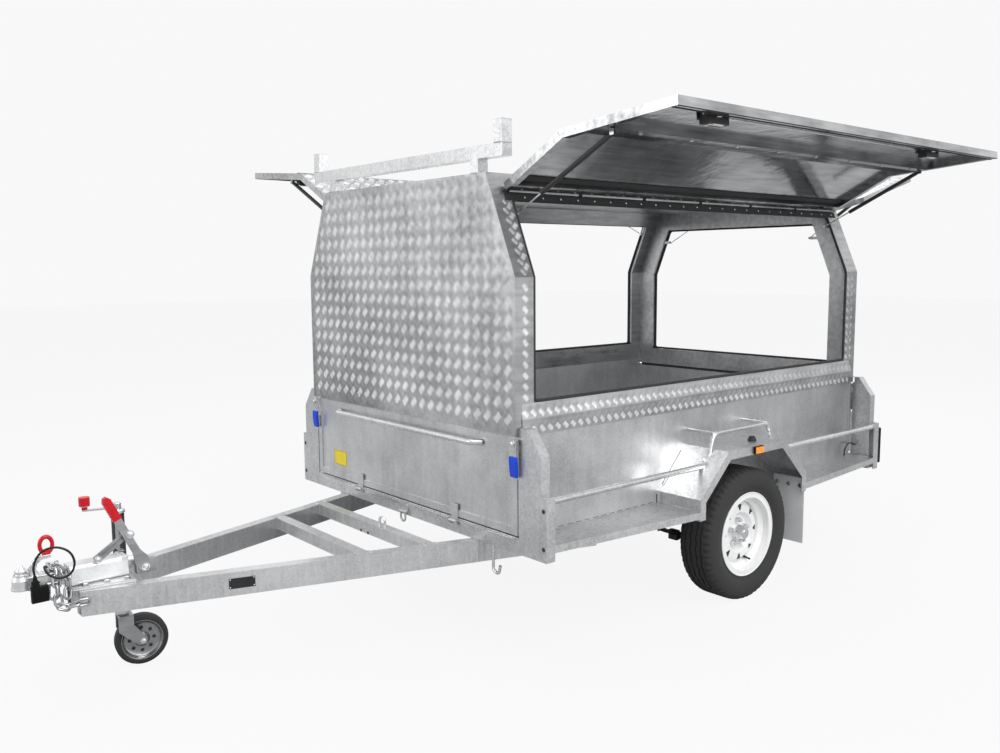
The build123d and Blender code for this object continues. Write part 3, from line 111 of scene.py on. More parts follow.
def lathe(profile: list, origin: tuple, axis: tuple, segments: int = 40) -> tuple[Array, Blocks]:
    """A turned surface: p = o + a*d + r*(u cos t + v sin t).

    Args:
        profile: pairs of distance along the axis and radius.
        origin: the point where the distance is zero.
        axis: the axis' direction.
        segments: steps round the axis.

    Returns:
        Points and a list of face blocks.
    """
    outline = np.asarray(profile, float)
    along = unit(axis)
    u, v = square_to(along)
    turn = np.linspace(0.0, 2 * math.pi, segments, endpoint=False)
    ring = np.cos(turn)[:, None] * u + np.sin(turn)[:, None] * v
    points = (np.asarray(origin, float) + outline[:, 0, None, None] * along
              + outline[:, 1, None, None] * ring[None])
    return points.reshape(-1, 3), [grid_faces(len(outline), segments, wrap_columns=True)]


def prism(outline: list, origin: tuple, u: tuple, v: tuple, depth: float) -> tuple[Array, Blocks]:
    """A plate: p = o + a*u + b*v + w*(u x v), with w at 0 and at depth, capped at both."""
    flat = np.asarray(outline, float)
    across_u, across_v = unit(u), unit(v)
    normal = np.cross(across_u, across_v)
    base = np.asarray(origin, float) + flat[:, :1] * across_u + flat[:, 1:] * across_v
    count = len(flat)
    sides = grid_faces(2, count, wrap_columns=True)
    caps = np.stack([np.arange(count)[::-1], np.arange(count) + count])
    return np.concatenate([base, base + depth * normal]), [sides, caps]


def brick(low: tuple, high: tuple) -> tuple[Array, Blocks]:
    """A block between two corners, as a prism along z."""
    size = np.asarray(high, float) - np.asarray(low, float)
    return prism([(0, 0), (size[0], 0), (size[0], size[1]), (0, size[1])], low, (1, 0, 0), (0, 1, 0), size[2])


def sweep(path: Array, radius: float, sides: int = 8, closed: bool = False,
          side: tuple = (0.0, 0.0, 1.0)) -> tuple[Array, Blocks]:
    """A round bar along a path: p = c(s) + r*(n cos t + b sin t), n square to the path.

    Args:
        path: points in order, far enough apart to give a direction.
        radius: the bar's radius, one number or one for each point.
        sides: faces round the bar.
        closed: whether the last point joins the first.
        side: a direction that the path never runs along.

    Returns:
        Points and face blocks.
    """
    path = np.asarray(path, float)
    if closed:
        ahead = np.roll(path, -1, 0) - np.roll(path, 1, 0)
    else:
        ahead = np.gradient(path, axis=0)
    ahead = unit(ahead)
    reach = np.broadcast_to(np.asarray(radius, float).reshape(-1, 1, 1), (len(path), 1, 1))
    first = unit(np.asarray(side, float) - (ahead @ np.asarray(side, float))[:, None] * ahead)
    second = np.cross(ahead, first)
    turn = np.linspace(0.0, 2 * math.pi, sides, endpoint=False)
    ring = (np.cos(turn)[None, :, None] * first[:, None] + np.sin(turn)[None, :, None] * second[:, None])
    points = (path[:, None] + reach * ring).reshape(-1, 3)
    faces = [grid_faces(len(path), sides, wrap_columns=True, wrap_rows=closed)]
    if not closed:
        last = len(points) - sides
        faces.append(np.stack([np.arange(sides)[::-1], np.arange(sides) + last]))
    return points, faces


def rod(start: tuple, end: tuple, radius: float, sides: int = 8,
        side: tuple = (0.0, 0.0, 1.0)) -> tuple[Array, Blocks]:
    """A straight round bar between two points."""
    return sweep(np.array([start, end]), radius, sides, side=side)


def rectangle(width: float, height: float) -> list:
    """A rectangle's outline with its first corner at zero."""
    return [(0, 0), (width, 0), (width, height), (0, height)]


def scatter(template: tuple[Array, Blocks], places: Array, u: Array, v: Array, w: Array) -> tuple[Array, Blocks]:
    """Copies of a small shape: p = place + x*u + y*v + z*w for every place at once."""
    shape, blocks = template
    places = np.asarray(places, float).reshape(-1, 3)
    u, v, w = (np.broadcast_to(np.asarray(k, float), places.shape) for k in (u, v, w))
    points = (places[:, None] + shape[None, :, :1] * u[:, None] + shape[None, :, 1:2] * v[:, None]
              + shape[None, :, 2:] * w[:, None])
    offsets = (np.arange(len(places)) * len(shape))[:, None, None]
    return points.reshape(-1, 3), [(b[None] + offsets).reshape(-1, b.shape[1]) for b in blocks]


def arc(centre: tuple, radius: float, start: float, end: float, count: int) -> Array:
    """Points (a, b) on a circle from one angle to another, in degrees."""
    turn = np.radians(np.linspace(start, end, count))
    return np.stack([centre[0] + radius * np.cos(turn), centre[1] + radius * np.sin(turn)], 1)


def bolt_shape(across: float = 0.0085, height: float = 0.006, washer: float = 0.011) -> tuple[Array, Blocks]:
    """A washer and a hexagon head standing on z = 0."""
    disc, disc_faces = lathe([(0, 0), (0, washer), (0.0016, washer), (0.0018, 0)], (0, 0, 0), (0, 0, 1), 12)
    head, head_faces = lathe([(0.0016, 0), (0.0016, across), (height - 0.001, across),
                              (height, across * 0.82), (height, 0)], (0, 0, 0), (0, 0, 1), 6)
    return np.concatenate([disc, head]), disc_faces + [b + len(disc) for b in head_faces]


def rivet_shape(radius: float = 0.0045, height: float = 0.0018) -> tuple[Array, Blocks]:
    """A low dome standing on z = 0: height falls with the square of the distance."""
    share = np.array([1.0, 0.75, 0.4, 0.0])
    return lathe([(height * (1 - s * s), radius * s) for s in share], (0, 0, 0), (0, 0, 1), 8)


class Body(str, Enum):
    """The frame's bodies that pieces ride on."""

    CHASSIS = "chassis"
    LEFT_WHEEL = "left_wheel"
    RIGHT_WHEEL = "right_wheel"
    CASTOR = "jockey_castor"
    ROLLER = "jockey_roller"
    LEFT_DOOR = "left_door"
    RIGHT_DOOR = "right_door"
    BACK_DOOR = "back_door"
    FRONT_GATE = "front_gate"
    BACK_GATE = "back_gate"


# ---------------------------------------------------------------- finishes


class Wiring:
    """A material's node tree with short calls for the nodes used here."""

    def __init__(self, name: str) -> None:
        """Makes an empty node material with a Principled shader and its output."""
        self.material = bpy.data.materials.new(name)
        self.material.use_nodes = True
        self.tree = self.material.node_tree
        self.tree.nodes.clear()
        self.shader = self.tree.nodes.new("ShaderNodeBsdfPrincipled")
        out = self.tree.nodes.new("ShaderNodeOutputMaterial")
        self.join(self.shader.outputs[0], out.inputs[0])
        self.place = self.tree.nodes.new("ShaderNodeTexCoord").outputs["Object"]

    def join(self, source: bpy.types.NodeSocket, target: bpy.types.NodeSocket) -> None:
        """Links two sockets."""
        self.tree.links.new(source, target)

    def stretched(self, scale: tuple) -> bpy.types.NodeSocket:
        """Object coordinates scaled by three factors, for streaks and brushed lines."""
        node = self.tree.nodes.new("ShaderNodeMapping")
        self.join(self.place, node.inputs["Vector"])
        node.inputs["Scale"].default_value = scale
        return node.outputs[0]

    def noise(self, scale: float, detail: float = 4.0, rough: float = 0.55,
              vector: bpy.types.NodeSocket | None = None) -> bpy.types.NodeSocket:
        """Smooth noise from 0 to 1."""
        node = self.tree.nodes.new("ShaderNodeTexNoise")
        self.join(vector or self.place, node.inputs["Vector"])
        node.inputs["Scale"].default_value = scale
        node.inputs["Detail"].default_value = detail
        node.inputs["Roughness"].default_value = rough
        return node.outputs["Fac"]

    def cells(self, scale: float, feature: str = "F1", output: str = "Color") -> bpy.types.NodeSocket:
        """Voronoi cells, as the crystals of a zinc coat."""
        node = self.tree.nodes.new("ShaderNodeTexVoronoi")
        node.feature = feature
        self.join(self.place, node.inputs["Vector"])
        node.inputs["Scale"].default_value = scale
        return node.outputs[output]

    def spread(self, value: bpy.types.NodeSocket, low: float, high: float,
               start: float = 0.0, end: float = 1.0) -> bpy.types.NodeSocket:
        """A value's range start..end stretched to low..high, clamped."""
        node = self.tree.nodes.new("ShaderNodeMapRange")
        self.join(value, node.inputs["Value"])
        for key, number in (("From Min", start), ("From Max", end), ("To Min", low), ("To Max", high)):
            node.inputs[key].default_value = number
        return node.outputs[0]

    def mixed(self, share: bpy.types.NodeSocket, first: tuple, second: tuple) -> bpy.types.NodeSocket:
        """A colour between two by a share."""
        node = self.tree.nodes.new("ShaderNodeMix")
        node.data_type = "RGBA"
        self.join(share, node.inputs[0])
        for index, colour in ((6, first), (7, second)):
            if isinstance(colour, tuple):
                node.inputs[index].default_value = (*colour, 1.0)
            else:
                self.join(colour, node.inputs[index])
        return node.outputs[2]

    def sum(self, first: bpy.types.NodeSocket, second: bpy.types.NodeSocket, share: float) -> bpy.types.NodeSocket:
        """A weighted sum: first*(1-share) + second*share."""
        node = self.tree.nodes.new("ShaderNodeMix")
        node.inputs[0].default_value = share
        self.join(first, node.inputs[2])
        self.join(second, node.inputs[3])
        return node.outputs[0]

    def bump(self, height: bpy.types.NodeSocket, distance: float, strength: float = 1.0) -> None:
        """Small relief on the shader's normal, its depth in metres."""
        node = self.tree.nodes.new("ShaderNodeBump")
        node.inputs["Strength"].default_value = strength
        node.inputs["Distance"].default_value = distance
        self.join(height, node.inputs["Height"])
        self.join(node.outputs[0], self.shader.inputs["Normal"])

    def set(self, **values: float | tuple) -> None:
        """Numbers and colours on the shader's own sockets, by name with _ for a blank."""
        for key, value in values.items():
            socket = self.shader.inputs[key.replace("_", " ")]
            socket.default_value = (*value, 1.0) if isinstance(value, tuple) else value

    def dye(self, colour: bpy.types.NodeSocket) -> None:
        """Links the base colour."""
        self.join(colour, self.shader.inputs["Base Color"])

    def rough(self, value: bpy.types.NodeSocket) -> None:
        """Links the roughness."""
        self.join(value, self.shader.inputs["Roughness"])


@dataclass(frozen=True)
class Zinc:
    """Hot-dip galvanised sheet: fine crystals, runs down the sheet and a cloudy bloom."""

    name: str = "galvanised_sheet"
    dark: tuple = (0.36, 0.365, 0.37)
    light: tuple = (0.76, 0.765, 0.77)
    crystal: float = 150.0
    crystals: float = 0.12
    run: tuple = (22.0, 22.0, 2.6)
    runs: float = 0.22
    rough: tuple = (0.26, 0.50)

    def material(self) -> bpy.types.Material:
        """Tone = bloom, with a share of runs and a share of crystals; it sets colour and gloss."""
        w = Wiring(self.name)
        w.set(Metallic=0.92)
        crystals = w.spread(w.cells(self.crystal), 0.1, 0.9)
        runs = w.noise(1.0, 5.0, 0.62, w.stretched(self.run))
        bloom = w.sum(w.noise(2.1, 5.0, 0.6), w.noise(8.0, 4.0, 0.6), 0.3)
        tone = w.sum(w.sum(bloom, runs, self.runs), crystals, self.crystals)
        w.dye(w.mixed(w.spread(tone, 0.0, 1.0, 0.34, 0.64), self.dark, self.light))
        w.rough(w.spread(tone, self.rough[1], self.rough[0], 0.3, 0.7))
        w.bump(w.sum(w.noise(120.0, 2.0), w.noise(11.0, 3.0), 0.7), 0.0009, 0.5)
        return w.material


@dataclass(frozen=True)
class Plate:
    """Rolled aluminium with soft rolling streaks and handling marks."""

    name: str = "rolled_aluminium"
    dark: tuple = (0.24, 0.245, 0.25)
    light: tuple = (0.62, 0.625, 0.63)
    rough: tuple = (0.24, 0.42)
    ripple: float = 0.0012

    def material(self) -> bpy.types.Material:
        """Streaks along x, cloudy patches, and a slow ripple of the sheet."""
        w = Wiring(self.name)
        w.set(Metallic=1.0)
        streaks = w.noise(40.0, 3.0, 0.5, w.stretched((0.12, 1.0, 1.0)))
        cloud = w.noise(2.6, 4.0)
        w.dye(w.mixed(w.spread(w.sum(streaks, cloud, 0.6), 0.0, 1.0, 0.3, 0.7), self.dark, self.light))
        w.rough(w.spread(w.sum(w.noise(90.0), cloud, 0.5), self.rough[0], self.rough[1], 0.3, 0.7))
        w.bump(w.sum(w.noise(14.0, 2.0), w.noise(3.0, 1.0), 0.6), self.ripple, 0.7)
        return w.material


@dataclass(frozen=True)
class Coat:
    """A paint, plastic or rubber: one colour with its own small unevenness."""

    name: str
    colour: tuple
    rough: tuple = (0.35, 0.5)
    metal: float = 0.0
    grain: float = 240.0
    depth: float = 0.0002
    vary: float = 0.12
    coat: float = 0.0
    shine: float = 0.5
    stretch: tuple = (1.0, 1.0, 1.0)
    bend: float = 1.5

    def material(self) -> bpy.types.Material:
        """The colour drifts by noise between a darker and a lighter shade, and so does its gloss."""
        w = Wiring(self.name)
        w.set(Metallic=self.metal, Coat_Weight=self.coat, Specular_IOR_Level=self.shine, IOR=self.bend)
        patch = w.noise(7.0, 5.0, 0.6, w.stretched(self.stretch))
        shade = tuple(c * (1.0 - self.vary) for c in self.colour)
        lift = tuple(min(1.0, c * (1.0 + self.vary) + 0.004) for c in self.colour)
        w.dye(w.mixed(w.spread(patch, 0.0, 1.0, 0.3, 0.7), shade, lift))
        w.rough(w.spread(w.sum(w.noise(self.grain * 0.4), patch, 0.5), self.rough[0], self.rough[1], 0.3, 0.7))
        w.bump(w.noise(self.grain, 2.0), self.depth, 0.6)
        return w.material


@dataclass(frozen=True)
class Lens:
    """A moulded lamp lens with a prism pattern inside."""

    name: str
    colour: tuple
    deep: tuple
    pitch: float = 180.0
    glow: float = 0.0

    def material(self) -> bpy.types.Material:
        """Prism cells paint a light and dark sparkle into the colour under a clear glossy face; the emission adds a
        painted glow for light the prisms send back.
        """
        w = Wiring(self.name)
        w.set(Roughness=0.12, Coat_Weight=0.8, Coat_Roughness=0.05)
        prisms = w.cells(self.pitch, "F1", "Distance")
        w.dye(w.mixed(w.spread(prisms, 0.0, 1.0, 0.1, 0.7), self.colour, self.deep))
        w.bump(prisms, 0.0008, 0.6)
        # Painted glow: the emission stands in for light sent back by the lens, not a lit lamp.
        w.set(Emission_Color=self.colour, Emission_Strength=self.glow)
        return w.material


class Look(Enum):
    """Every finish on the trailer."""

    ZINC = Zinc()
    ZINC_SPANGLED = Zinc("galvanised_spangled", (0.40, 0.405, 0.41), (0.76, 0.765, 0.77), 95.0, 0.20, runs=0.12)
    ZINC_BRIGHT = Zinc("galvanised_bright", (0.46, 0.465, 0.47), (0.86, 0.865, 0.87), 120.0, 0.2, rough=(0.2, 0.36))
    ZINC_DULL = Zinc("galvanised_drawbar", (0.38, 0.385, 0.39), (0.76, 0.765, 0.77), 140.0, 0.14,
                     (60.0, 60.0, 6.0), 0.30, (0.28, 0.46))
    PLATE = Plate()
    TREAD = Plate("tread_plate_bars", (0.30, 0.305, 0.31), (0.66, 0.665, 0.67), (0.30, 0.48), 0.0003)
    INNER = Plate("door_inner_skin", (0.20, 0.205, 0.21), (0.66, 0.665, 0.67), (0.10, 0.22), 0.005)
    RIM = Coat("white_rim_enamel", (0.90, 0.90, 0.89), (0.16, 0.28), coat=0.4, vary=0.03, depth=0.00008)
    TYRE = Coat("tyre_rubber", (0.006, 0.006, 0.0065), (0.6, 0.8), vary=0.35, grain=420.0, shine=0.3, bend=1.13)
    RUBBER = Coat("black_rubber", (0.006, 0.006, 0.0065), (0.5, 0.7), vary=0.25, shine=0.3, bend=1.13)
    BLACK = Coat("black_enamel", (0.008, 0.008, 0.009), (0.22, 0.4), vary=0.25, shine=0.4, bend=1.3)
    CASTING = Coat("silver_casting", (0.66, 0.665, 0.67), (0.32, 0.52), metal=0.75, vary=0.22, grain=90.0, depth=0.0008)
    LINK = Coat("chain_zinc", (0.46, 0.465, 0.475), (0.2, 0.4), metal=1.0, vary=0.35, grain=90.0, depth=0.0006)
    PRESSED = Coat("pressed_wheel_zinc", (0.30, 0.305, 0.31), (0.16, 0.32), metal=1.0, vary=0.3)
    CHROME = Coat("bright_zinc_plating", (0.66, 0.665, 0.68), (0.14, 0.32), metal=1.0, vary=0.22)
    STEEL = Coat("plain_plated_steel", (0.34, 0.345, 0.35), (0.26, 0.46), metal=0.9, vary=0.2, stretch=(1, 1, 4))
    WELD = Coat("weld_bead", (0.50, 0.505, 0.51), (0.4, 0.6), metal=0.8, grain=90.0, depth=0.0008, vary=0.25)
    DARK_METAL = Coat("dark_steel", (0.035, 0.036, 0.038), (0.35, 0.55), metal=0.4, vary=0.3, shine=0.3)
    RED = Coat("red_grip_plastic", (0.60, 0.003, 0.012), (0.24, 0.38), vary=0.12, shine=0.35)
    BLUE = Coat("blue_grip_plastic", (0.002, 0.06, 0.66), (0.25, 0.4), vary=0.1, shine=0.35)
    YELLOW = Coat("yellow_blank_label", (0.88, 0.68, 0.02), (0.3, 0.4), vary=0.06, depth=0.00005)
    PALE = Coat("pale_flap_plastic", (0.86, 0.865, 0.87), (0.4, 0.55), vary=0.05)
    CORD = Coat("black_cord_sheath", (0.006, 0.006, 0.0065), (0.34, 0.5), vary=0.2, grain=500.0, depth=0.0001,
                shine=0.3)
    PLASTIC = Coat("black_moulding", (0.007, 0.007, 0.0075), (0.4, 0.6), vary=0.2, shine=0.4, bend=1.2)
    # The amber lens's last number is its painted glow.
    AMBER = Lens("amber_lens", (1.0, 0.56, 0.0), (0.75, 0.07, 0.0), 190.0, 0.18)
    RUBY = Lens("red_lens", (0.62, 0.01, 0.01), (0.25, 0.0, 0.0))

    @property
    def made(self) -> bpy.types.Material:
        """The material, made once."""
        return bpy.data.materials.get(self.value.name) or self.value.material()


# ---------------------------------------------------------------- pieces


@dataclass
class Soup:
    """Points and faces gathered for one piece."""

    points: list = field(default_factory=list)
    faces: list = field(default_factory=list)
    count: int = 0

    def add(self, shape: tuple[Array, Blocks]) -> "Soup":
        """Adds a shape's points and its face blocks."""
        points, blocks = shape
        self.points.append(np.asarray(points, float).reshape(-1, 3))
        self.faces += [np.asarray(b) + self.count for b in blocks]
        self.count += len(self.points[-1])
        return self

    def mirror(self) -> "Soup":
        """Adds the mirror image across y = 0, with its faces turned round."""
        points = np.concatenate(self.points) * np.array([1.0, -1.0, 1.0])
        blocks = [b[:, ::-1] for b in self.faces]
        return self.add((points, blocks))

    def flipped(self) -> "Soup":
        """Only the mirror image across y = 0, with its faces turned round."""
        self.points = [p * np.array([1.0, -1.0, 1.0]) for p in self.points]
        self.faces = [b[:, ::-1] for b in self.faces]
        return self

    def moved(self, turn: "Turn") -> "Soup":
        """The same faces with every point turned."""
        self.points = [turn.apply(p) for p in self.points]
        return self

    def build(self, name: str, look: Look, body: Body, slot: str = "", smooth: float = 35.0,
              bevel: float = 0.0, tidy: bool = True) -> bpy.types.Object:
        """Makes the piece, gives it its finish, and lets it ride.

        Args:
            name: the piece's name.
            look: its finish.
            body: the body that it rides on.
            slot: not used.
            smooth: the angle over which an edge stays sharp, in degrees.
            bevel: a rounding of the edges, in metres.
            tidy: whether doubles are merged and normals made to point out.

        Returns:
            The object.
        """
        mesh = bpy.data.meshes.new(name)
        faces = [f for block in self.faces for f in block.tolist()]
        mesh.from_pydata(np.concatenate(self.points).tolist(), [], faces)
        if tidy:
            work = bmesh.new()
            work.from_mesh(mesh)
            bmesh.ops.remove_doubles(work, verts=work.verts, dist=2e-6)
            bmesh.ops.recalc_face_normals(work, faces=work.faces)
            work.to_mesh(mesh)
            work.free()
        mesh.validate()
        mesh.shade_smooth()
        mesh.set_sharp_from_angle(angle=math.radians(smooth))
        mesh.materials.append(look.made)
        piece = bpy.data.objects.new(name, mesh)
        bpy.context.scene.collection.objects.link(piece)
        if bevel:
            rounding = piece.modifiers.new("rounded_edges", "BEVEL")
            rounding.width = bevel
            rounding.segments = 2
            rounding.limit_method = "ANGLE"
            rounding.angle_limit = math.radians(40)
        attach(piece, body.value)
        LOG.info("%s: %d points, %d faces", name, len(mesh.vertices), len(mesh.polygons))
        return piece


@dataclass(frozen=True)
class Turn:
    """A turn about an axis through a point, in degrees by the right-hand rule."""

    point: tuple
    axis: tuple
    degrees: float

    def apply(self, points: Array) -> Array:
        """p' = c + k(k.d)(1-cos) + d cos + (k x d) sin, with d = p - c."""
        k = unit(self.axis)
        offset = np.asarray(points, float) - np.asarray(self.point, float)
        c, s = math.cos(math.radians(self.degrees)), math.sin(math.radians(self.degrees))
        along = (offset @ k)[..., None] * k
        return np.asarray(self.point, float) + along * (1 - c) + offset * c + np.cross(k, offset) * s


LEFT_OPEN = Turn((0.0, *HINGE), (1.0, 0.0, 0.0), DOOR_SWING)
BACK_OPEN = Turn((REAR_HINGE[0], 0.0, REAR_HINGE[1]), (0.0, 1.0, 0.0), REAR_SWING)
LEAN = math.atan2(ROOF_Z - KNUCKLE_Z, CANOPY_HALF - ROOF_HALF)
HALF_FOLD = math.tan((math.pi / 2 - LEAN) / 2)


def wall_point(out: float, z: float) -> tuple[float, float]:
    """(y, z) of a point at a distance out of the canopy's face, at the face's height z."""
    if z <= KNUCKLE_Z:
        return CANOPY_HALF + out, z
    y = CANOPY_HALF - (z - KNUCKLE_Z) / math.tan(LEAN)
    return y + out * math.sin(LEAN), z + out * math.cos(LEAN)


def knuckle_point(out: float) -> tuple[float, float]:
    """(y, z) of the fold at a distance out of the canopy's face."""
    return CANOPY_HALF + out, KNUCKLE_Z + out * HALF_FOLD


# ---------------------------------------------------------------- studio


@dataclass
class Studio:
    """Camera at the photograph's place, plain floor, and soft lamps."""

    eye: tuple = (3.1498, 3.3959, 1.5489)
    yaw: float = -2.2717
    pitch: float = -0.1189
    roll: float = -0.0071
    focal_pixels: float = 916.49
    image_width: float = 1000.0
    sensor: float = 36.0
    backdrop: tuple = (0.94, 0.94, 0.943)
    sky: tuple = (0.80, 0.82, 0.85)
    sky_strength: float = 0.60
    floor_tone: tuple = (0.50, 0.50, 0.505)
    floor_glow: float = 1.046
    floor_share: float = 0.92
    floor_reach: float = 40.0

    def camera(self) -> None:
        """Aims by yaw and pitch, then rolls: columns are right, up and backwards."""
        ahead = np.array([math.cos(self.yaw) * math.cos(self.pitch),
                          math.sin(self.yaw) * math.cos(self.pitch), math.sin(self.pitch)])
        right = unit(np.cross(ahead, (0.0, 0.0, 1.0)))
        up = np.cross(right, ahead)
        c, s = math.cos(self.roll), math.sin(self.roll)
        columns = np.stack([c * right + s * up, -s * right + c * up, -ahead], 1)
        pose = Matrix([[*columns[i], self.eye[i]] for i in range(3)] + [[0.0, 0.0, 0.0, 1.0]])
        data = bpy.data.cameras.new("photo_camera")
        data.sensor_width = self.sensor
        data.sensor_fit = "HORIZONTAL"
        data.lens = self.focal_pixels * self.sensor / self.image_width
        data.clip_start, data.clip_end = 0.05, 120.0
        camera = bpy.data.objects.new("photo_camera", data)
        camera.matrix_world = pose
        bpy.context.scene.collection.objects.link(camera)
        bpy.context.scene.camera = camera

    def lamp(self, name: str, place: tuple, aim: tuple, size: float, watts: float) -> None:
        """A square area lamp that points from its place to its aim, hidden from the camera."""
        data = bpy.data.lights.new(name, "AREA")
        data.shape = "SQUARE"
        data.size = size
        data.energy = watts
        lamp = bpy.data.objects.new(name, data)
        lamp.location = place
        lamp.visible_camera = False
        lamp.rotation_euler = (Vector(aim) - Vector(place)).to_track_quat("-Z", "Y").to_euler()
        bpy.context.scene.collection.objects.link(lamp)

    def world(self) -> None:
        """White to the camera and to reflections, and a plain grey level of light."""
        world = bpy.data.worlds.new("plain_world")
        world.use_nodes = True
        tree = world.node_tree
        tree.nodes.clear()
        path = tree.nodes.new("ShaderNodeLightPath")
        either = tree.nodes.new("ShaderNodeMath")
        either.operation = "MAXIMUM"
        any_ray = tree.nodes.new("ShaderNodeMath")
        any_ray.operation = "MAXIMUM"
        plain = tree.nodes.new("ShaderNodeBackground")
        plain.inputs[0].default_value = (*self.sky, 1.0)
        plain.inputs[1].default_value = self.sky_strength
        white = tree.nodes.new("ShaderNodeBackground")
        white.inputs[0].default_value = (*self.backdrop, 1.0)
        white.inputs[1].default_value = 1.0
        blend = tree.nodes.new("ShaderNodeMixShader")
        out = tree.nodes.new("ShaderNodeOutputWorld")
        link = tree.links.new
        link(path.outputs["Is Camera Ray"], either.inputs[0])
        link(path.outputs["Is Transmission Ray"], either.inputs[1])
        link(either.outputs[0], any_ray.inputs[0])
        link(path.outputs["Is Glossy Ray"], any_ray.inputs[1])
        link(any_ray.outputs[0], blend.inputs[0])
        link(plain.outputs[0], blend.inputs[1])
        link(white.outputs[0], blend.inputs[2])
        link(blend.outputs[0], out.inputs[0])
        bpy.context.scene.world = world

    def floor(self) -> None:
        """A wide pale floor, lifted to the background's white but keeping the shadow."""
        mesh = bpy.data.meshes.new("studio_floor")
        reach = self.floor_reach
        mesh.from_pydata([(-reach, -reach, 0), (reach, -reach, 0), (reach, reach, 0), (-reach, reach, 0)],
                         [], [(0, 1, 2, 3)])
        floor = bpy.data.objects.new("studio_floor", mesh)
        bpy.context.scene.collection.objects.link(floor)
        material = bpy.data.materials.new("studio_floor")
        material.use_nodes = True
        tree = material.node_tree
        tree.nodes.clear()
        matt = tree.nodes.new("ShaderNodeBsdfDiffuse")
        matt.inputs[0].default_value = (*self.floor_tone, 1.0)
        glow = tree.nodes.new("ShaderNodeEmission")
        glow.inputs[0].default_value = (*self.backdrop, 1.0)
        glow.inputs[1].default_value = self.floor_glow
        path = tree.nodes.new("ShaderNodeLightPath")
        seen = tree.nodes.new("ShaderNodeMath")
        seen.operation = "MULTIPLY"
        seen.inputs[1].default_value = self.floor_share
        blend = tree.nodes.new("ShaderNodeMixShader")
        out = tree.nodes.new("ShaderNodeOutputMaterial")
        link = tree.links.new
        link(path.outputs["Is Camera Ray"], seen.inputs[0])
        link(seen.outputs[0], blend.inputs[0])
        link(matt.outputs[0], blend.inputs[1])
        link(glow.outputs[0], blend.inputs[2])
        link(blend.outputs[0], out.inputs[0])
        mesh.materials.append(material)

    def build(self) -> None:
        """Sets the whole studio."""
        bpy.context.scene.view_settings.view_transform = "Standard"
        self.camera()
        self.world()
        self.floor()
        middle = (0.2, 0.0, 0.9)
        self.lamp("key_lamp", (1.2, 5.2, 6.2), middle, 5.0, 330.0)
        self.lamp("front_lamp", (7.0, -2.6, 3.0), middle, 5.0, 150.0)
        self.lamp("side_lamp", (-0.8, 6.2, 1.9), (-0.5, 0.0, 0.7), 4.5, 70.0)
        self.lamp("inside_lamp", (-0.35, 0.25, 1.86), (-0.35, 0.0, 0.4), 1.1, 9.0)
        self.lamp("top_lamp", (-0.5, -0.5, 7.0), middle, 7.0, 260.0)
        self.lamp("rear_lamp", (-6.5, -4.5, 4.5), middle, 4.0, 210.0)
        LOG.info("studio set")


# ---------------------------------------------------------------- lead


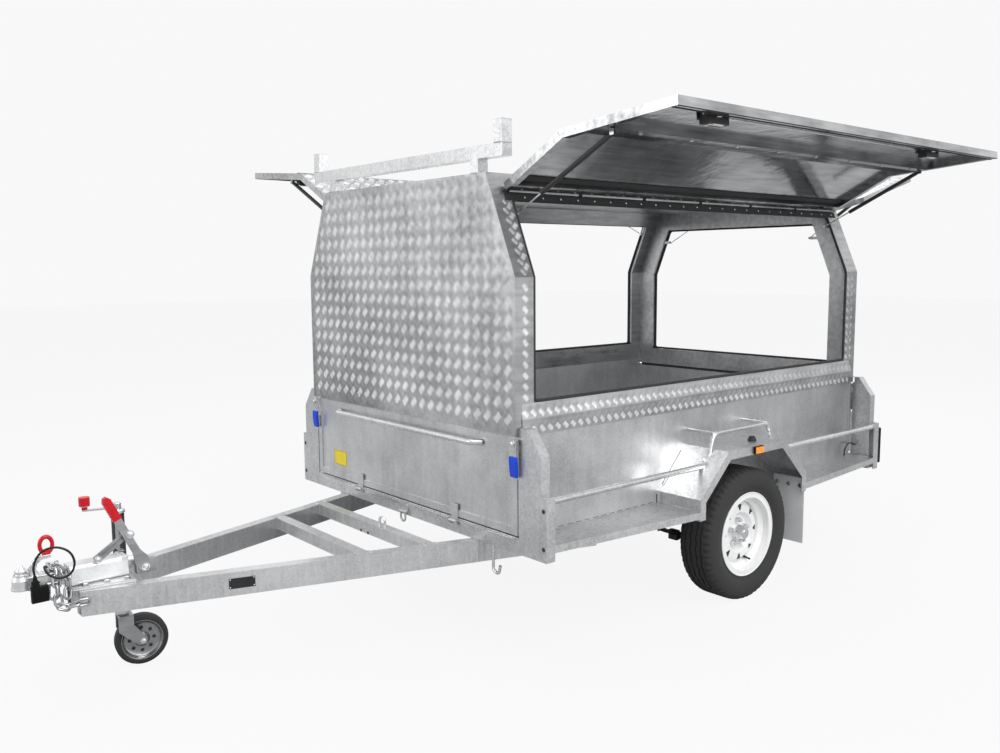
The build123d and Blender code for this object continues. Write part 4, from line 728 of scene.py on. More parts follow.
@dataclass
class TrailerLead:
    """The trailer lead's free cord, from the coupling's neck in a loop to the flat plug."""

    radius: float = 0.004
    length: float = 0.456

    route = ((1508, 14, 500), (1508, 14, 514), (1514, 25, 528), (1525, 39, 535), (1528, 54, 531), (1526, 69, 521),
             (1517, 81, 509), (1498, 88, 499), (1477, 90, 497), (1459, 91, 503), (1445, 91, 518), (1439, 90, 540),
             (1442, 88, 562), (1452, 85, 582), (1469, 81, 596), (1491, 76, 605), (1515, 70, 604), (1535, 66, 597),
             (1550, 63, 581), (1560, 61, 560), (1565, 60, 538), (1561, 60, 513), (1561, 60, 493))

    def cord(self, plug_parts: list) -> None:
        """A NURBS line through the route's points as control points, bevelled round."""
        curve = bpy.data.curves.new("trailer_lead_cord", "CURVE")
        curve.dimensions = "3D"
        spline = curve.splines.new("NURBS")
        spline.points.add(len(self.route) - 1)
        rows = np.column_stack([row_points(self.route), np.ones(len(self.route))])
        spline.points.foreach_set("co", rows.ravel())
        spline.order_u = 3
        spline.use_endpoint_u = True
        spline.resolution_u = 10
        curve.bevel_depth = self.radius
        curve.bevel_resolution = 4
        curve.use_fill_caps = True
        curve.materials.append(Look.CORD.made)
        cord = bpy.data.objects.new("trailer_lead_cord", curve)
        bpy.context.scene.collection.objects.link(cord)
        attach(cord, Body.CHASSIS.value)
        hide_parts("trailer_lead")

    def plug(self) -> list:
        """Ribs on the flat plug's faces, its sleeve and round cap, and a row of contact tubes."""
        x, y = station(1549), 0.060
        ribs = Soup()
        for z in np.linspace(0.4325, 0.4625, 6):
            ribs.add(brick((x - 0.0255, y + 0.0088, z - 0.0014), (x + 0.0255, y + 0.0106, z + 0.0014)))
            ribs.add(brick((x - 0.0255, y - 0.0106, z - 0.0014), (x + 0.0255, y - 0.0088, z + 0.0014)))
        entry = station(1561)
        ribs.add(lathe([(0, 0.0), (0, 0.0105), (0.003, 0.0105), (0.004, 0.0085), (0.012, 0.0070), (0.020, 0.0056),
                        (0.022, 0.0)], (entry, y, 0.4925), (0, 0, 1), 18))
        ribs.add(lathe([(0.0088, 0.0), (0.0088, 0.0085), (0.0112, 0.0080), (0.0120, 0.0)],
                       (entry, y, 0.4840), (0, 1, 0), 20))
        grip = ribs.build("lead_plug_ribs", Look.PLASTIC, Body.CHASSIS, "black_plastic", bevel=0.0006)
        pins = Soup()
        for shift in np.linspace(-0.021, 0.021, 7):
            pins.add(lathe([(0, 0), (0, 0.0021), (0.0030, 0.0021), (0.0032, 0.0)],
                           (x + shift, y, 0.4232), (0, 0, -1), 12))
        tubes = pins.build("lead_plug_contacts", Look.CHROME, Body.CHASSIS, "bright_steel")
        return [grip, tubes]

    def gland(self) -> None:
        """The tapered sleeve where the lead leaves the coupling's neck."""
        foot = (station(1508), 0.014, 0.500)
        soup = Soup().add(lathe([(0, 0), (0, 0.0095), (0.002, 0.0095), (0.003, 0.0075), (0.011, 0.0055),
                                 (0.012, 0.0)], foot, (0, 0, 1), 20))
        soup.build("lead_gland", Look.RUBBER, Body.CHASSIS, "black_plastic")

    def build(self) -> None:
        """Makes the cord and what is on it."""
        self.cord(self.plug())
        self.gland()


# ---------------------------------------------------------------- tread plate


@dataclass
class TreadFace:
    """A flat stretch of tread plate: groups of five bars, turned by turns, inside an outline."""

    origin: tuple
    u: tuple
    v: tuple
    outline: list
    holes: list = field(default_factory=list)
    cell: float = 0.045
    bar: tuple = (0.036, 0.0052, 0.0011)
    margin: float = 0.004

    def inside(self, points: Array, outline: list) -> Array:
        """Even-odd test: a point is in where a ray along u meets the outline an odd number of times."""
        a = np.asarray(outline, float)
        b = np.roll(a, -1, 0)
        x, y = points[..., 0, None], points[..., 1, None]
        rise = np.where(b[:, 1] == a[:, 1], 1e-12, b[:, 1] - a[:, 1])
        meets = ((a[:, 1] > y) != (b[:, 1] > y)) & (x < (b[:, 0] - a[:, 0]) * (y - a[:, 1]) / rise + a[:, 0])
        return meets.sum(-1) % 2 == 1

    def bars(self) -> tuple[Array, Blocks]:
        """Cells of a chessboard on its corner; bars run one way in even cells and across in odd."""
        corners = np.asarray(self.outline, float)
        low, high = corners.min(0), corners.max(0)
        pitch = self.cell * math.sqrt(2)
        counts = np.ceil((high - low) / pitch).astype(int) + 2
        k, m = np.meshgrid(np.arange(counts[0]), np.arange(counts[1]), indexing="ij")
        even = np.stack([k, m], -1).reshape(-1, 2) * pitch + low - pitch / 2
        half = math.sqrt(0.5)
        rising, falling = np.array([half, half]), np.array([-half, half])
        steps = np.arange(-2, 3) * self.cell / 5
        spots, ways = [], []
        for cells, way, aside in ((even, rising, falling), (even + pitch / 2, falling, rising)):
            centres = (cells[:, None] + steps[None, :, None] * aside).reshape(-1, 2)
            spots.append(centres)
            ways.append(np.broadcast_to(way, centres.shape))
        centres, ways = np.concatenate(spots), np.concatenate(ways)
        reach = self.bar[0] / 2 + self.margin
        tips = np.stack([centres + ways * reach, centres - ways * reach, centres], 1)
        keep = self.inside(tips, self.outline).all(1)
        for hole in self.holes:
            keep &= ~self.inside(tips, hole).any(1)
        centres, ways = centres[keep], ways[keep]
        length, width, height = self.bar
        base = [(-0.5, 0), (-0.3, -0.5), (0.3, -0.5), (0.5, 0), (0.3, 0.5), (-0.3, 0.5)]
        shape = np.array([(x * length, y * width, 0.0) for x, y in base]
                         + [(-0.3 * length, 0, height), (0.3 * length, 0, height)])
        quads = np.array([(1, 2, 7, 6), (4, 5, 6, 7)])
        tris = np.array([(0, 1, 6), (0, 6, 5), (3, 7, 2), (3, 4, 7)])
        u, v = unit(self.u), unit(self.v)
        normal = np.cross(u, v)
        places = np.asarray(self.origin, float) + centres[:, :1] * u + centres[:, 1:] * v
        way = ways[:, :1] * u + ways[:, 1:] * v
        return scatter((shape, [quads, tris]), places, way, np.cross(normal, way), normal)


NARROW_BARS = {"cell": 0.030, "bar": (0.024, 0.0046, 0.0010), "margin": 0.001}


@dataclass
class TreadSkin:
    """The raised bars on every sheet of the canopy and its doors."""

    door_out: float = 0.038
    door_bottom: float = 0.987
    door_ends: tuple = (-1.600, 0.810)
    hinge_top: float = 1.8326

    def gable(self) -> list:
        """The end walls' outline in y and z."""
        left = [(CANOPY_HALF, FOOT_Z), (CANOPY_HALF, KNUCKLE_Z), (ROOF_HALF, ROOF_Z)]
        return left + [(-y, z) for y, z in reversed(left)]

    def ends(self) -> None:
        """Front wall, and the rear frame round its doorway."""
        front = TreadFace((WALL_FRONT, 0, 0), (0, 1, 0), (0, 0, 1), self.gable())
        Soup().add(front.bars()).build("front_wall_tread", Look.TREAD, Body.CHASSIS, "checker_plate", tidy=False)
        doorway = [(0.648, 0.992), (0.648, 1.492), (0.530, 1.787)]
        doorway += [(-y, z) for y, z in reversed(doorway)]
        outline = [(-y, z) for y, z in self.gable()]
        rear = TreadFace((WALL_REAR, 0, 0), (0, -1, 0), (0, 0, 1), outline, [doorway], bar=(0.030, 0.0048, 0.0011))
        Soup().add(rear.bars()).build("rear_frame_tread", Look.TREAD, Body.CHASSIS, "checker_plate", tidy=False)

    def roof(self) -> None:
        """The roof's top and its two sloping shoulders."""
        soup = Soup()
        low, high = (ROOF_REAR, -ROOF_HALF), (ROOF_FRONT, ROOF_HALF)
        outline = [low, (high[0], low[1]), high, (low[0], high[1])]
        feet = [[(x - 0.03, s * 0.51), (x + 0.08, s * 0.51), (x + 0.08, s * 0.58), (x - 0.03, s * 0.58)]
                for x in (0.80, -1.609) for s in (-1, 1)]
        soup.add(TreadFace((0, 0, ROOF_Z), (1, 0, 0), (0, 1, 0), outline, feet).bars())
        soup.build("roof_tread", Look.TREAD, Body.CHASSIS, "checker_plate", tidy=False)

    def sides(self) -> None:
        """Skirts and sloping sills under the side doors, and the corner posts."""
        soup = Soup()
        length = ROOF_FRONT - ROOF_REAR
        soup.add(TreadFace((ROOF_FRONT, 0.791, FOOT_Z), (-1, 0, 0), (0, 0, 1),
                           rectangle(length, 0.064), **NARROW_BARS).bars())
        slope = math.hypot(0.012, 0.063)
        soup.add(TreadFace((ROOF_FRONT, 0.791, 0.962), (-1, 0, 0), (0, -0.012, 0.063),
                           rectangle(length, slope), **NARROW_BARS).bars())
        for start, end in ((ROOF_FRONT, 0.777), (-1.522, ROOF_REAR)):
            width = start - end
            soup.add(TreadFace((start, CANOPY_HALF, 1.025), (-1, 0, 0), (0, 0, 1),
                               rectangle(width, 0.485), **NARROW_BARS).bars())
            rise = math.hypot(0.305, 0.305 / math.tan(LEAN))
            soup.add(TreadFace((start, CANOPY_HALF, KNUCKLE_Z), (-1, 0, 0), (0, -math.cos(LEAN), math.sin(LEAN)),
                               rectangle(width, rise), **NARROW_BARS).bars())
        soup.mirror()
        soup.build("canopy_side_tread", Look.TREAD, Body.CHASSIS, "checker_plate", tidy=False)

    def door_soup(self) -> Soup:
        """Both leaves of the left side door's outer skin, drawn closed and swung open."""
        start, end = self.door_ends
        length = end - start
        y, z = knuckle_point(self.door_out)
        lower = z - self.door_bottom
        top_y, top_z = wall_point(self.door_out, self.hinge_top)
        upper = math.hypot(y - top_y, top_z - z)
        soup = Soup()
        soup.add(TreadFace((end, y, self.door_bottom), (-1, 0, 0), (0, 0, 1),
                           rectangle(length, lower)).bars())
        soup.add(TreadFace((end, y, z), (-1, 0, 0), (0, -math.cos(LEAN), math.sin(LEAN)),
                           rectangle(length, upper)).bars())
        return soup.moved(LEFT_OPEN)

    def doors(self) -> None:
        """The outer skins of the three doors."""
        self.door_soup().build("left_door_tread", Look.TREAD, Body.LEFT_DOOR, "checker_plate", tidy=False)
        self.door_soup().flipped().build(
            "right_door_tread", Look.TREAD, Body.RIGHT_DOOR, "checker_plate", tidy=False)
        left = [(0.650, 0.960), (0.650, 1.530), (0.540, 1.822)]
        outline = left + [(-y, z) for y, z in reversed(left)]
        back = TreadFace((-1.667, 0, 0), (0, -1, 0), (0, 0, 1), outline)
        Soup().add(back.bars()).moved(BACK_OPEN).build(
            "back_door_tread", Look.TREAD, Body.BACK_DOOR, "checker_plate", tidy=False)

    def build(self) -> None:
        """All of the tread."""
        self.ends()
        self.roof()
        self.sides()
        self.doors()


# ---------------------------------------------------------------- road wheels


@dataclass
class RoadWheel:
    """A light-truck tyre with wavy grooves and block shoulders, and the wheel's bright fittings."""

    side: int
    body: Body
    groove: float = 0.007
    lugs: int = 60
    steps: int = 240
    waves: int = 30
    wave_reach: float = 0.0026
    notch_share: float = 0.34
    notch_depth: float = 0.0058
    rib_share: float = 0.14
    rib_depth: float = 0.003
    studs: int = 5
    stud_circle: float = 0.057
    slots: int = 8
    bead_radius: float = 0.1945

    def tyre(self) -> None:
        """Surface (turn, across): the radius follows the section, less groove depth at wavy lines."""
        outer = [(64, 177), (70, 184), (70.6, 196.5), (74, 201), (77.5, 206.5), (77.2, 209), (84, 222), (86.2, 224.5),
                 (90, 240), (92.2, 252), (91.4, 266), (88, 280), (87.4, 282), (83.5, 291), (79, 298.5), (75, 303),
                 (71.6, 304.6), (66, 307.2), (61.8, 308.6), (60, 308.9)]
        grooves = (42.0, 15.0)
        middle = []
        for centre in grooves:
            middle += [(centre + 4.6, 309.6), (centre + 3.0, 309.6 - self.groove * 1000),
                       (centre - 3.0, 309.6 - self.groove * 1000), (centre - 4.6, 309.6)]
        half = np.array(outer + middle)
        profile = np.concatenate([half, half[::-1] * np.array([-1, 1])])
        inner = np.array([(-40, 178), (-20, 262), (20, 262), (40, 178)])
        profile = np.concatenate([profile, inner]) / 1000.0
        turn = np.linspace(0, 2 * math.pi, self.steps, endpoint=False)
        across = np.broadcast_to(profile[:, 0], (self.steps, len(profile))).copy()
        radius = np.broadcast_to(profile[:, 1], (self.steps, len(profile))).copy()
        wave = np.abs(((turn * self.waves / (2 * math.pi)) % 1.0) - 0.5) * 4 - 1
        window = np.clip((0.056 - np.abs(profile[:, 0])) / 0.006, 0, 1) * (profile[:, 1] > 0.3)
        across += self.wave_reach * wave[:, None] * window
        notch = ((turn * self.lugs / (2 * math.pi)) % 1.0) < self.notch_share
        shoulder = ((np.abs(profile[:, 0]) > 0.0595) & (profile[:, 1] > 0.2935))
        radius -= self.notch_depth * notch[:, None] * shoulder
        rib = ((turn * self.lugs / 2 / (2 * math.pi)) % 1.0) < self.rib_share
        centre_rib = (np.abs(profile[:, 0]) > 0.019) & (np.abs(profile[:, 0]) < 0.038) & (profile[:, 1] > 0.3)
        radius -= self.rib_depth * rib[:, None] * centre_rib
        points = np.stack([AXLE_X + radius * np.cos(turn)[:, None],
                           self.side * TRACK + across,
                           AXLE_Z + radius * np.sin(turn)[:, None]], -1).reshape(-1, 3)
        soup = Soup().add((points, [grid_faces(self.steps, len(profile), True, True)]))
        name = "left" if self.side > 0 else "right"
        piece = soup.build(f"{name}_tyre_tread", Look.TYRE, self.body, "tyre_rubber", smooth=28)
        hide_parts(f"tyre_{name}")

    def fittings(self) -> None:
        """Hub cap, nuts, the drum behind the slots, dark panels across the slots as painted shade of the openings,
        valve and the rim's edges.
        """
        name = "left" if self.side > 0 else "right"
        axis = (0, self.side, 0)
        centre = (AXLE_X, self.side * TRACK, AXLE_Z)
        bright = Soup()
        bright.add(lathe([(0.0285, 0.0365), (0.030, 0.0365), (0.041, 0.0310), (0.058, 0.0280), (0.0625, 0.0260),
                          (0.0640, 0.0215), (0.0635, 0.0195), (0.0650, 0.0180), (0.0655, 0.0), (0.0285, 0.0)],
                         centre, axis, 40))
        nut, nut_faces = lathe([(0.0095, 0.0), (0.0095, 0.0128), (0.013, 0.0124), (0.031, 0.0118),
                                (0.0335, 0.0100), (0.0335, 0.0065), (0.043, 0.0060), (0.0440, 0.0045), (0.044, 0)],
                               (0, 0, 0), (0, 1, 0), 6)
        angle = np.radians(90 + 360 / self.studs * np.arange(self.studs))
        spots = np.stack([AXLE_X + self.stud_circle * np.cos(angle), np.full(self.studs, self.side * TRACK),
                          AXLE_Z + self.stud_circle * np.sin(angle)], 1)
        bright.add(scatter((nut, nut_faces), spots, (1, 0, 0), (0, self.side, 0), (0, 0, 1)))
        bright.build(f"{name}_hub_and_nuts", Look.CHROME, self.body, "bright_steel")
        drum = Soup().add(lathe([(-0.063, 0.040), (-0.063, 0.1187), (-0.0585, 0.1187), (-0.0585, 0.1195),
                                 (-0.0130, 0.1195), (-0.0070, 0.1187), (-0.0070, 0.084)], centre, axis, 64))
        # Dark panels across each slot's opening: painted shade where the wheel's inside shows through.
        edge = [(0.0037, 0.0298, 0.1035), (0.0147, 0.0268, 0.1275), (0.0166, 0.0240, 0.1315)]
        slot = np.array([(-x, y, z) for x, y, z in edge] + edge)
        slot_faces = [np.array([(0, 3, 4, 1), (1, 4, 5, 2)])]
        turn = np.radians(360 / self.slots * np.arange(self.slots))[:, None]
        level = np.zeros_like(turn)
        spots = np.tile(np.array(centre, float), (self.slots, 1))
        drum.add(scatter((slot, slot_faces), spots, np.hstack([np.cos(turn), level, -np.sin(turn)]), axis,
                         np.hstack([np.sin(turn), level, np.cos(turn)])))
        drum.build(f"{name}_brake_drum", Look.DARK_METAL, self.body, "black_enamel")
        stem = Turn(centre, (0, 1, 0), 20.0).apply(np.array([[AXLE_X, self.side * (TRACK + 0.024), AXLE_Z - 0.136],
                                                             [AXLE_X, self.side * (TRACK + 0.046), AXLE_Z - 0.140],
                                                             [AXLE_X, self.side * (TRACK + 0.058), AXLE_Z - 0.142]]))
        valve = Soup().add(sweep(stem, np.array([0.0062, 0.0042, 0.0046]), 12, side=(1, 0, 0)))
        valve.build(f"{name}_valve", Look.RUBBER, self.body, "black_rubber")
        bead = Soup()
        for offset in (-0.0752, 0.0752):
            ring = arc((0, 0), self.bead_radius, 0, 360, 97)[:-1]
            path = np.stack([AXLE_X + ring[:, 0], np.full(96, self.side * TRACK + offset), AXLE_Z + ring[:, 1]], 1)
            bead.add(sweep(path, 0.0030, 8, closed=True, side=(0, 1, 0)))
        bead.build(f"{name}_rim_edges", Look.RIM, self.body, "white_enamel")

    def build(self) -> None:
        """The whole wheel."""
        self.tyre()
        self.fittings()


# ---------------------------------------------------------------- coupling and drawbar


@dataclass
class Coupling:
    """Chain, head and trigger details, handbrake fittings, tie points, the blank plate and the welds."""

    wire: float = 0.0046

    def link_path(self, centre: tuple, ahead: tuple, across: tuple, straight: float, bend: float) -> Array:
        """A link's middle line: two half circles of radius bend joined by straights."""
        c = np.asarray(centre, float)
        a, b = unit(ahead), np.asarray(across, float)
        b = unit(b - (b @ a) * a)
        first = arc((straight, 0), bend, -90, 90, 11)
        second = arc((-straight, 0), bend, 90, 270, 11)
        flat = np.concatenate([first, second])
        return c + flat[:, :1] * a + flat[:, 1:] * b

    def link(self, spot: Array, ahead: Array, up: Array) -> tuple[Array, Blocks]:
        """One round link at a spot, lying along ahead and standing along up."""
        path = self.link_path(spot, ahead, up, 0.009, 0.012)
        return sweep(path, self.wire, 10, closed=True, side=tuple(unit(np.cross(unit(ahead), unit(up)))))

    def chain(self) -> None:
        """Round links along the drape, turned by quarter turns, a second strand, and the shackle."""
        route = row_points([(1421, 98.5, 397), (1453, 92, 395), (1482, 81, 390), (1494, 72, 402), (1494, 62, 432),
                            (1492, 52, 464), (1490, 44, 497), (1488, 30, 517), (1480, 6, 518), (1476, -20, 510),
                            (1480, -38, 486), (1486, -44, 454)])
        lengths = np.concatenate([[0], np.cumsum(np.linalg.norm(np.diff(route, axis=0), axis=1))])
        pitch = 0.0322
        stops = np.arange(0, lengths[-1], pitch)
        spots = np.stack([np.interp(stops, lengths, route[:, k]) for k in range(3)], 1)
        soup = Soup()
        for index, spot in enumerate(spots):
            ahead = np.array([np.interp(stops[index] + 0.012, lengths, route[:, k]) for k in range(3)])
            ahead = ahead - np.array([np.interp(stops[index] - 0.012, lengths, route[:, k]) for k in range(3)])
            if np.linalg.norm(ahead) < 1e-5:
                ahead = route[1] - route[0]
            up = np.array([0.0, 0.25, 1.0]) if index % 2 == 0 else np.cross(ahead, (0.0, 0.25, 1.0))
            soup.add(self.link(spot, ahead, up))
        for shift, lean in ((0.0, 0.35), (0.016, -0.3), (0.030, 0.2)):
            centre = (station(1474 + shift * 1000), 0.0, 0.516)
            path = self.link_path(centre, (lean, 1.0, 0.0), (0.2, 0, 1.0), 0.012, 0.0125)
            soup.add(sweep(path, self.wire, 10, closed=True, side=(1, -lean, -0.2)))
        strand = row_points([(1478, 52, 522), (1463, 62, 500), (1459, 68, 468), (1464, 76, 436)])
        for index, spot in enumerate(strand):
            ahead = strand[min(index + 1, 3)] - strand[max(index - 1, 0)]
            up = (1.0, 0.3, 0.0) if index % 2 else np.cross(ahead, (1.0, 0.3, 0.0))
            soup.add(self.link(spot, ahead, up))
        bow = np.concatenate([[(0.0135, 0.030)], arc((0.0, -0.012), 0.0165, 20, -200, 19), [(-0.0135, 0.030)]])
        path = np.column_stack([station(1500) + bow[:, 0], np.full(len(bow), 0.040), 0.440 + bow[:, 1]])
        soup.add(sweep(path, 0.0050, 10, side=(0, 1, 0)))
        soup.add(rod((station(1479), 0.040, 0.470), (station(1520), 0.040, 0.470), 0.0052, 12))
        piece = soup.build("safety_chain_links", Look.LINK, Body.CHASSIS, "galvanised_steel")
        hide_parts("safety_chain")

    def head(self) -> None:
        """Ridges of the head's cap and neck, the base plate's bolts, the neck's pins and the housing's ribs."""
        axis = (0, 0, 1)
        origin = (station(1591), 0, 0)
        soup = Soup()
        soup.add(lathe([(0.506, 0.0240), (0.5075, 0.0255), (0.5105, 0.0255), (0.512, 0.0215)], origin, axis, 40))
        soup.add(lathe([(0.5185, 0.0180), (0.5200, 0.0212), (0.5240, 0.0212), (0.5255, 0.0165)], origin, axis, 40))
        soup.add(lathe([(0.531, 0.0130), (0.532, 0.0140), (0.535, 0.0120), (0.536, 0.0095)], origin, axis, 32))
        neck = [(1444, 0.030), (1462, 0.0285), (1520, 0.0262), (1560, 0.0255), (1578, 0.0300)]
        for z, lift in ((0.459, -0.0002), (0.5, 0.0004)):
            edge = np.array([(station(x), s, z + lift) for x, s in neck])
            for side in (-1, 1):
                soup.add(sweep(edge * np.array([1, side, 1]), 0.0035, 8))
        soup.build("coupling_head_ribs", Look.CASTING, Body.CHASSIS, "silver_enamel")
        fixings = Soup()
        spots = [(station(x), s * y, 0.442) for x, y in ((1262, 0.078), (1330, 0.070), (1400, 0.058)) for s in (-1, 1)]
        fixings.add(scatter(bolt_shape(0.0095, 0.009, 0.0125), spots, (1, 0, 0), (0, 1, 0), (0, 0, 1)))
        pin = [(0, 0), (0, 0.0075), (0.004, 0.0095), (0.007, 0.0095), (0.008, 0.0)]
        for x, z in ((1452, 0.480), (1548, 0.482)):
            for side in (-1, 1):
                fixings.add(lathe(pin, (station(x), side * 0.0238, z), (0, side, 0), 20))
        fixings.build("coupling_bolts", Look.CHROME, Body.CHASSIS, "bright_steel")
        caps = Soup()
        for side in (-1, 1):
            caps.add(brick((station(1246) + 0.004, side * 0.0405 - 0.002, 0.474),
                           (station(1444) - 0.006, side * 0.0405 + 0.002, 0.480)))
            caps.add(brick((station(1270), side * 0.0455 - 0.002, 0.450),
                           (station(1430), side * 0.0455 + 0.002, 0.4545)))
        caps.add(brick((station(1246) - 0.002, -0.0415, 0.446), (station(1266), 0.0415, 0.5135)))
        caps.build("coupling_housing_ribs", Look.CASTING, Body.CHASSIS, "silver_enamel", bevel=0.0012)

    def trigger(self) -> None:
        """The trigger's rolled edges, and the red finger loop with its ridges."""
        soup = Soup()
        path = row_points([(1562, 0, 501), (1565, 0, 522), (1553, 0, 549), (1533, 0, 563), (1496, 0, 563)])
        for y in (-0.0075, 0.0075):
            soup.add(sweep(path + np.array([0, y, 0]), 0.0028, 8, side=(0, 1, 0)))
        soup.build("trigger_edges", Look.CHROME, Body.CHASSIS, "galvanised_steel")
        ring = arc((0, 0), 1.0, 0, 360, 73)[:-1]
        grip = Soup()
        path = np.stack([station(1506) + 0.0205 * ring[:, 0], np.zeros(72), 0.5985 + 0.0285 * ring[:, 1]], 1)
        thick = 0.0066 + 0.0010 * np.abs(ring[:, 1])
        grip.add(sweep(path, thick, 14, closed=True, side=(0, 1, 0)))
        for y in (-0.0058, 0.0058):
            rib = path * np.array([1, 0, 1]) + np.array([0, y, 0])
            grip.add(sweep(rib[rib[:, 2] > 0.578], 0.0026, 8, side=(0, 1, 0)))
        grip.add(prism([(-0.013, 0.562), (0.013, 0.562), (0.009, 0.577), (-0.009, 0.577)],
                       (station(1506), 0.0065, 0.0), (1, 0, 0), (0, 0, 1), 0.013))
        loop = grip.build("trigger_finger_loop", Look.RED, Body.CHASSIS, "red_plastic", bevel=0.0008)
        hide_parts("trigger_loop")

    def handbrake(self) -> None:
        """The lever's bolts, its upright, the ratchet's teeth and the grip's ridges."""
        fixings = Soup()
        for x, y, z in ((1190, 0.0620, 467), (1239, 0.0620, 597), (1350, 0.0390, 520)):
            fixings.add(scatter(bolt_shape(0.0105, 0.009, 0.0150), [(station(x), y, z / 1000)],
                                (1, 0, 0), (0, 0, -1), (0, 1, 0)))
        fixings.add(lathe([(0, 0), (0, 0.0045), (0.030, 0.0045), (0.030, 0)],
                          (station(1190), 0.028, 0.467), (0, -1, 0), 12))
        fixings.build("handbrake_bolts", Look.CHROME, Body.CHASSIS, "bright_steel")
        upright = Soup().add(brick((station(1250), -0.060, 0.5145), (station(1254), -0.022, 0.628)))
        upright.add(brick((station(1236), -0.060, 0.5140), (station(1254), -0.022, 0.5180)))
        upright.build("handbrake_upright", Look.STEEL, Body.CHASSIS, "galvanised_steel", bevel=0.0012)
        teeth = Soup()
        start, end = np.array([1236.0, 594.0]), np.array([1356.0, 516.0])
        for share in np.linspace(0.10, 0.86, 15):
            x, z = start + (end - start) * share
            teeth.add(prism([(0, 0), (0.006, 0.0), (0.0045, 0.0048)], (station(x), 0.036 + 0.003, z / 1000 + 0.004),
                            (0.838, 0, -0.545), (0.545, 0, 0.838), 0.006))
        teeth.build("handbrake_ratchet", Look.STEEL, Body.CHASSIS, "galvanised_steel")
        lean = math.atan2(1321 - 1190, 745 - 467)
        reach = math.hypot(1321 - 1190, 745 - 467) / 1000
        up = np.array([math.sin(lean), 0, math.cos(lean)])
        aside = np.array([math.cos(lean), 0, -math.sin(lean)])
        foot = np.array([station(1190), 0.058, 0.467])
        grip = Soup()
        for share in np.linspace(0.12, 0.80, 7):
            centre = foot + up * (reach - 0.096 + 0.096 * share)
            ring = arc((0, 0), 1.0, 0, 360, 25)[:-1]
            path = centre + ring[:, :1] * 0.0165 * aside + ring[:, 1:] * 0.0098 * np.array([0, 1, 0])
            grip.add(sweep(path, 0.0016, 6, closed=True, side=tuple(up)))
        grip.build("handbrake_grip_ridges", Look.RED, Body.CHASSIS, "red_plastic")

    def plates(self) -> None:
        """The blank plate riveted to the left rail."""
        along = np.array([-1.0, RAIL_SLOPE, 0.0])
        x = 905.0
        y = RAIL_SPREAD - RAIL_SLOPE * x / 1000
        plate = Soup().add(prism([(-0.048, -0.020), (0.048, -0.020), (0.048, 0.020), (-0.048, 0.020)],
                                 (station(x), y, 0.389), tuple(along), (0, 0, 1), 0.0012))
        plate.build("blank_rail_plate", Look.DARK_METAL, Body.CHASSIS, "galvanised_steel", bevel=0.0005)
        rivets = Soup()
        normal = unit(np.cross(unit(along), (0, 0, 1)))
        corners = [np.array([station(x), y, 0.389]) + unit(along) * a + np.array([0, 0, b]) + normal * 0.0012
                   for a in (-0.043, 0.043) for b in (-0.015, 0.015)]
        rivets.add(scatter(rivet_shape(0.0026, 0.0014), corners, unit(along), (0, 0, 1), normal))
        rivets.build("rail_plate_rivets", Look.CHROME, Body.CHASSIS, "bright_steel")

    def tie_points(self) -> None:
        """A tie bracket with its shackle on the front beam, and dark discs of painted shade in the crossmember's open
        holes.
        """
        soup = Soup()
        soup.add(brick((station(0.5), -0.030, 0.436), (station(5), 0.030, 0.482)))
        bow = arc((0.0, 0.0), 0.019, 180, 360, 17)
        path = np.concatenate([[(-0.019, 0.026)], bow, [(0.019, 0.026)]])
        path = np.column_stack([np.full(len(path), station(12)), path[:, 0] * 0.9, 0.424 + path[:, 1]])
        soup.add(sweep(path, 0.0048, 10, side=(1, 0, 0)))
        soup.add(rod((station(12), -0.026, 0.450), (station(12), 0.026, 0.450), 0.0052, 12, (1, 0, 0)))
        soup.build("beam_tie_shackle", Look.ZINC_BRIGHT, Body.CHASSIS, "galvanised_steel", bevel=0.001)
        # Dark rubber-finished discs in the holes: painted shade inside them.
        holes = Soup()
        spot = lathe([(0, 0.0), (0, 0.0072), (0.0005, 0.0068), (0.0006, 0.0)], (0, 0, 0), (0, 0, 1), 20)
        holes.add(scatter(spot, [(station(206), y, 0.388) for y in (-0.049, 0.0095)], (0, 1, 0), (0, 0, 1), (1, 0, 0)))
        holes.build("crossmember_holes", Look.RUBBER, Body.CHASSIS, "black_rubber")

    def welds(self) -> None:
        """Rippled beads where rails, crossmembers and base plate meet."""
        soup = Soup()
        lines = []
        for x in (470, 420, 206, 156):
            inner = RAIL_SPREAD - RAIL_SLOPE * x / 1000 - 0.0524
            for s in (-1, 1):
                lines.append(((x, s * (inner - 0.002), 383), (x, s * (inner - 0.002), 432)))
                lines.append(((x - 2, s * (inner + 0.002), 433), (x + 4, s * (inner + 0.03), 433)))
        for s in (-1, 1):
            lines.append(((1246, s * 0.100, 434), (1448, s * 0.064, 434)))
            lines.append(((2, s * 0.486, 434), (2, s * 0.540, 434)))
            lines.append(((2, s * RAIL_SPREAD, 345), (2, s * RAIL_SPREAD, 430)))
        for start, end in lines:
            a, b = (np.array([station(p[0]), p[1], p[2] / 1000]) for p in (start, end))
            count = max(4, int(np.linalg.norm(b - a) / 0.0022))
            share = np.linspace(0, 1, count)[:, None]
            ripple = 0.0032 * (1 + 0.16 * np.cos(share[:, 0] * np.linalg.norm(b - a) / 0.0062 * 2 * math.pi))
            soup.add(sweep(a + (b - a) * share, ripple, 8, side=(0.3, 0.5, 0.8)))
        soup.build("drawbar_welds", Look.WELD, Body.CHASSIS, "galvanised_steel")

    def build(self) -> None:
        """Everything from the coupling back to the body."""
        self.chain()
        self.head()
        self.trigger()
        self.handbrake()
        self.plates()
        self.tie_points()
        self.welds()


# ---------------------------------------------------------------- jockey wheel


